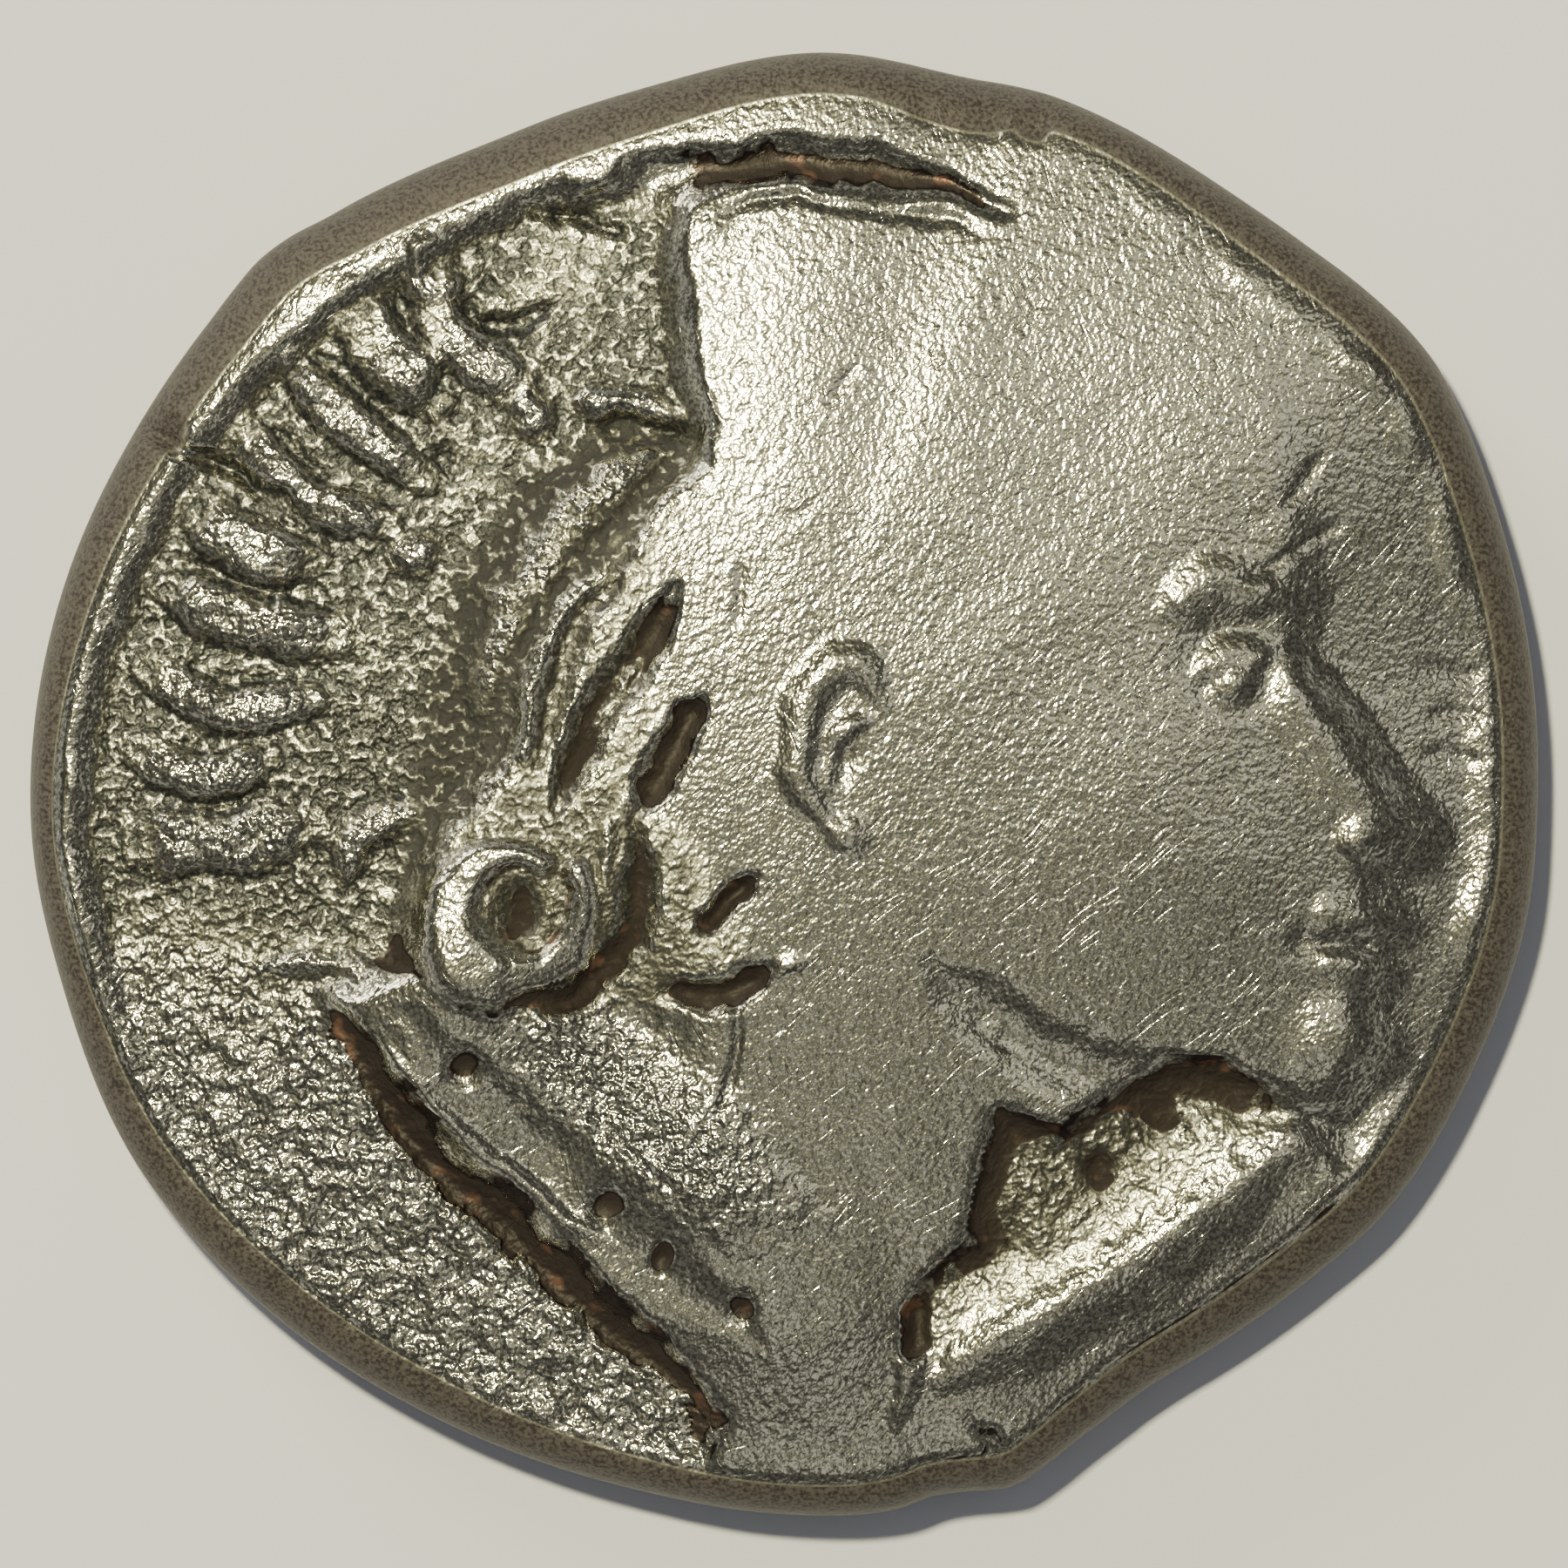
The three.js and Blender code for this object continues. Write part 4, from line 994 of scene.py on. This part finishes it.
def silver_colour(nodes, patterns, covers):
    """Silver mottled with dull silver, under slate with painted shade, the hair's grey with painted shade,
    brown or copper patina, and the edge's brown with painted shade.
    """
    dull = nodes.between(patterns["fine"], *DULL_RANGE, 0.0, DULL_SHARE)
    metal = nodes.mix_colour(dull, SILVER, DULL_SILVER)
    # Painted shade: the upper field is darkened with slate
    metal = nodes.mix_colour(covers["shaded_slate"], metal, nodes.mix_colour(dull, PALE_SHADED_SLATE, SHADED_SLATE))
    # The hair's dark grey: patina and painted shade
    metal = nodes.mix_colour(covers["hair"], metal, HAIR_SHADED_GREY)
    copper_spots = nodes.between(nodes.noise(COPPER_MM, detail=1.0), *COPPER_RANGE)
    patina = nodes.mix_colour(copper_spots, BROWN, COPPER)
    face = nodes.mix_colour(nodes.between(covers["tarnish"], 0, TARNISH_OPAQUE), metal, patina)
    # The edge: brown toning with painted shade
    edge = nodes.mix_colour(nodes.between(patterns["fine"], *EDGE_RANGE), EDGE_SHADED_BROWN, EDGE_SHADED_GREY)
    return nodes.mix_colour(covers["edge"], face, edge)


def silver_roughness(nodes, patterns, covers):
    """Polished metal, and rougher patinas."""
    roughness = nodes.between(patterns["fine"], *FINE_RANGE, *METAL_ROUGHNESS)
    for name, amount in PATINA_ROUGHNESS.items():
        roughness = nodes.math("ADD", roughness, nodes.math("MULTIPLY", covers[name], amount))
    return roughness


def silver_metallic(nodes, covers):
    """Bare metal, and less metal under each patina."""
    dark = nodes.math("MULTIPLY", nodes.math("ADD", covers["shaded_slate"], covers["hair"]), DARK_SHARE)
    covered = nodes.math("ADD", nodes.math("ADD", covers["tarnish"], covers["edge"]), dark)
    return nodes.between(covered, LEAST_COVER, 1, 1.0, LEAST_METALLIC)


def scratches(nodes, mottle):
    """Fine scratches in a few directions, in patches, as a height under the surface."""
    wander = nodes.put("ShaderNodeTexNoise", {
        "Vector": nodes.place(), "Scale": 1 / (SCRATCH_WANDER_MM * MM), "Detail": 0.0,
    })
    reach = (SCRATCH_SWING_MM * MM, SCRATCH_SWING_MM * MM, 0)
    swing = nodes.vector_math("MULTIPLY", wander.outputs["Color"], reach)
    height = 0.0
    for towards, least in SCRATCH_SETS:
        lined = nodes.place(scale=SCRATCH_SCALE, turn=math.radians(90 - towards))
        line = nodes.noise(SCRATCH_MM, detail=0.0, vector=nodes.vector_math("ADD", lined, swing))
        height = nodes.math("ADD", height, nodes.between(line, least, least + SCRATCH_SOFTNESS))
    patches = nodes.between(mottle, *SCRATCH_PATCHES)
    return nodes.math("MULTIPLY", height, nodes.math("MULTIPLY", patches, -1.0))


def silver_normal(nodes, masks, patterns):
    """Fine grain, scratches, and lumps that are higher where the metal is rough."""
    grain_place = nodes.place(scale=GRAIN_SCALE, turn=GRAIN_TURN)
    normal = nodes.bump(nodes.noise(GRAIN_MM, detail=1.0, vector=grain_place), GRAIN_HEIGHT)
    normal = nodes.bump(scratches(nodes, patterns["mottle"]), SCRATCH_HEIGHT, normal)
    growth = nodes.between(masks["rough"], *LUMP_GROWTH)
    return nodes.bump(nodes.math("MULTIPLY", patterns["lumps"], growth), LUMP_HEIGHT, normal)


def silver_material():
    """Worn silver: bright high metal, slate fields with painted shade, brown and coppery hollows, a matte
    edge with painted shade.
    """
    nodes = Nodes("worn_silver")
    names = ("cavity", "steep", "crest", "hair", "rough", "shaded_slate", "edge")
    masks = {name: nodes.mask(name) for name in names}
    patterns = {
        "mottle": nodes.noise(MOTTLE_MM),
        "fine": nodes.noise(FINE_MM, detail=1.0, roughness=0.6),
        "lumps": nodes.noise(LUMP_MM, detail=1.0),
    }
    covers = patina_covers(nodes, masks, patterns)
    sources = {
        "Base Color": silver_colour(nodes, patterns, covers),
        "Roughness": silver_roughness(nodes, patterns, covers),
        "Metallic": silver_metallic(nodes, covers),
        "Normal": silver_normal(nodes, masks, patterns),
    }
    for socket, source in sources.items():
        nodes.tree.links.new(source, nodes.shader.inputs[socket])
    nodes.shader.inputs["Specular IOR Level"].default_value = SPECULAR_LEVEL
    return nodes.material


def build_coin():
    """The struck coin, in the place of its solid."""
    coin = bpy.data.objects.new("coin_struck", coin_mesh())
    bpy.context.scene.collection.objects.link(coin)
    coin.data.materials.append(silver_material())
    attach(coin, "root")
    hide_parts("coin")


FLOOR_SIZE = 0.6
FLOOR_PALE = (0.84, 0.86, 1.0, 1)
FLOOR_SHADE = (0.79, 0.81, 0.95, 1)
FLOOR_MOTTLE_MM = 6.0
FLOOR_ROUGHNESS = 0.75
# The floor lies this far under the coin, so that no two faces share a plane
FLOOR_GAP_MM = 0.02


def build_floor():
    """A plain pale floor under the coin."""
    half = FLOOR_SIZE / 2
    mesh = bpy.data.meshes.new("floor")
    corners = [(-half, -half), (half, -half), (half, half), (-half, half)]
    mesh.from_pydata([(x, y, -FLOOR_GAP_MM * MM) for x, y in corners], [], [(0, 1, 2, 3)])
    floor = bpy.data.objects.new("floor", mesh)
    bpy.context.scene.collection.objects.link(floor)
    nodes = Nodes("pale_floor")
    colour = nodes.mix_colour(nodes.noise(FLOOR_MOTTLE_MM, detail=4.0), FLOOR_PALE, FLOOR_SHADE)
    nodes.tree.links.new(colour, nodes.shader.inputs["Base Color"])
    nodes.shader.inputs["Roughness"].default_value = FLOOR_ROUGHNESS
    mesh.materials.append(nodes.material)


# Brightness of the studio from the horizon, 0, to straight above, 1
STUDIO_GREYS = [(0.0, 0.42), (1.0, 0.16), (0.36, 0.32), (0.64, 0.07), (0.88, 0.12), (0.95, 0.17)]
# Its blue is this share of its red and green
STUDIO_BLUE = 0.93


def build_world():
    """Soft studio surroundings: pale walls low down, and a darker ceiling that the metal mirrors."""
    world = bpy.data.worlds.new("studio")
    bpy.context.scene.world = world
    world.use_nodes = True
    tree = world.node_tree
    background = tree.nodes["Background"]
    place = tree.nodes.new("ShaderNodeTexCoord")
    split = tree.nodes.new("ShaderNodeSeparateXYZ")
    ramp = tree.nodes.new("ShaderNodeValToRGB")
    tree.links.new(place.outputs["Generated"], split.inputs[0])
    tree.links.new(split.outputs["Z"], ramp.inputs[0])
    tree.links.new(ramp.outputs[0], background.inputs["Color"])
    stops = ramp.color_ramp.elements
    for i, (height, grey) in enumerate(STUDIO_GREYS):
        stop = stops[i] if i < len(stops) else stops.new(height)
        stop.position = height
        stop.color = (grey, grey, STUDIO_BLUE * grey, 1)


def add_light(name, place, size, power, colour):
    """A square soft light that faces the coin."""
    data = bpy.data.lights.new(name, "AREA")
    data.shape = "SQUARE"
    data.size = size
    data.energy = power
    data.color = colour
    light = bpy.data.objects.new(name, data)
    light.location = place
    towards = -light.location
    light.rotation_euler = towards.to_track_quat("-Z", "Y").to_euler()
    bpy.context.scene.collection.objects.link(light)


def direction(azimuth, from_zenith, distance):
    """A place at an azimuth from +X and an angle from straight up, in degrees."""
    a, z = math.radians(azimuth), math.radians(from_zenith)
    level = distance * math.sin(z)
    return level * math.cos(a), level * math.sin(a), distance * math.cos(z)


WARM = (1.0, 0.94, 0.54)
PALE_WARM = (1.0, 0.98, 0.86)
# Lights: azimuth, angle from straight up, distance and size in metres, watts, colour
LIGHTS = {
    "key": (124, 16.5, 0.2, 0.012, 0.55, WARM),
    "fill": (130, 66, 0.3, 0.12, 0.3, (1.0, 0.95, 0.78)),
    "right_panel": (30, 20, 0.3, 0.1, 0.016, PALE_WARM),
    "foot_panel": (275, 19, 0.3, 0.09, 0.008, PALE_WARM),
}
# The photograph's frame is this many times as wide as the coin
FRAME_SHARE = 1800 / 1724
CAMERA_HEIGHT = 0.25
SENSOR_WIDTH_MM = 36
CLIP_START = 0.01


def build_lights():
    """One small warm key light near the line of sight, a wide soft fill and two dim panels."""
    for name, (azimuth, from_zenith, distance, size, power, colour) in LIGHTS.items():
        add_light(name, direction(azimuth, from_zenith, distance), size, power, colour)


def build_camera():
    """A long lens straight above the coin."""
    data = bpy.data.cameras.new("camera")
    width = 2 * HALF_WIDTH * FRAME_SHARE
    data.sensor_width = SENSOR_WIDTH_MM
    data.lens = data.sensor_width * CAMERA_HEIGHT / width
    data.clip_start = CLIP_START
    camera = bpy.data.objects.new("camera", data)
    camera.location = (0, 0, CAMERA_HEIGHT)
    bpy.context.scene.collection.objects.link(camera)
    bpy.context.scene.camera = camera


build_camera()
build_coin()
build_floor()
build_world()
build_lights()
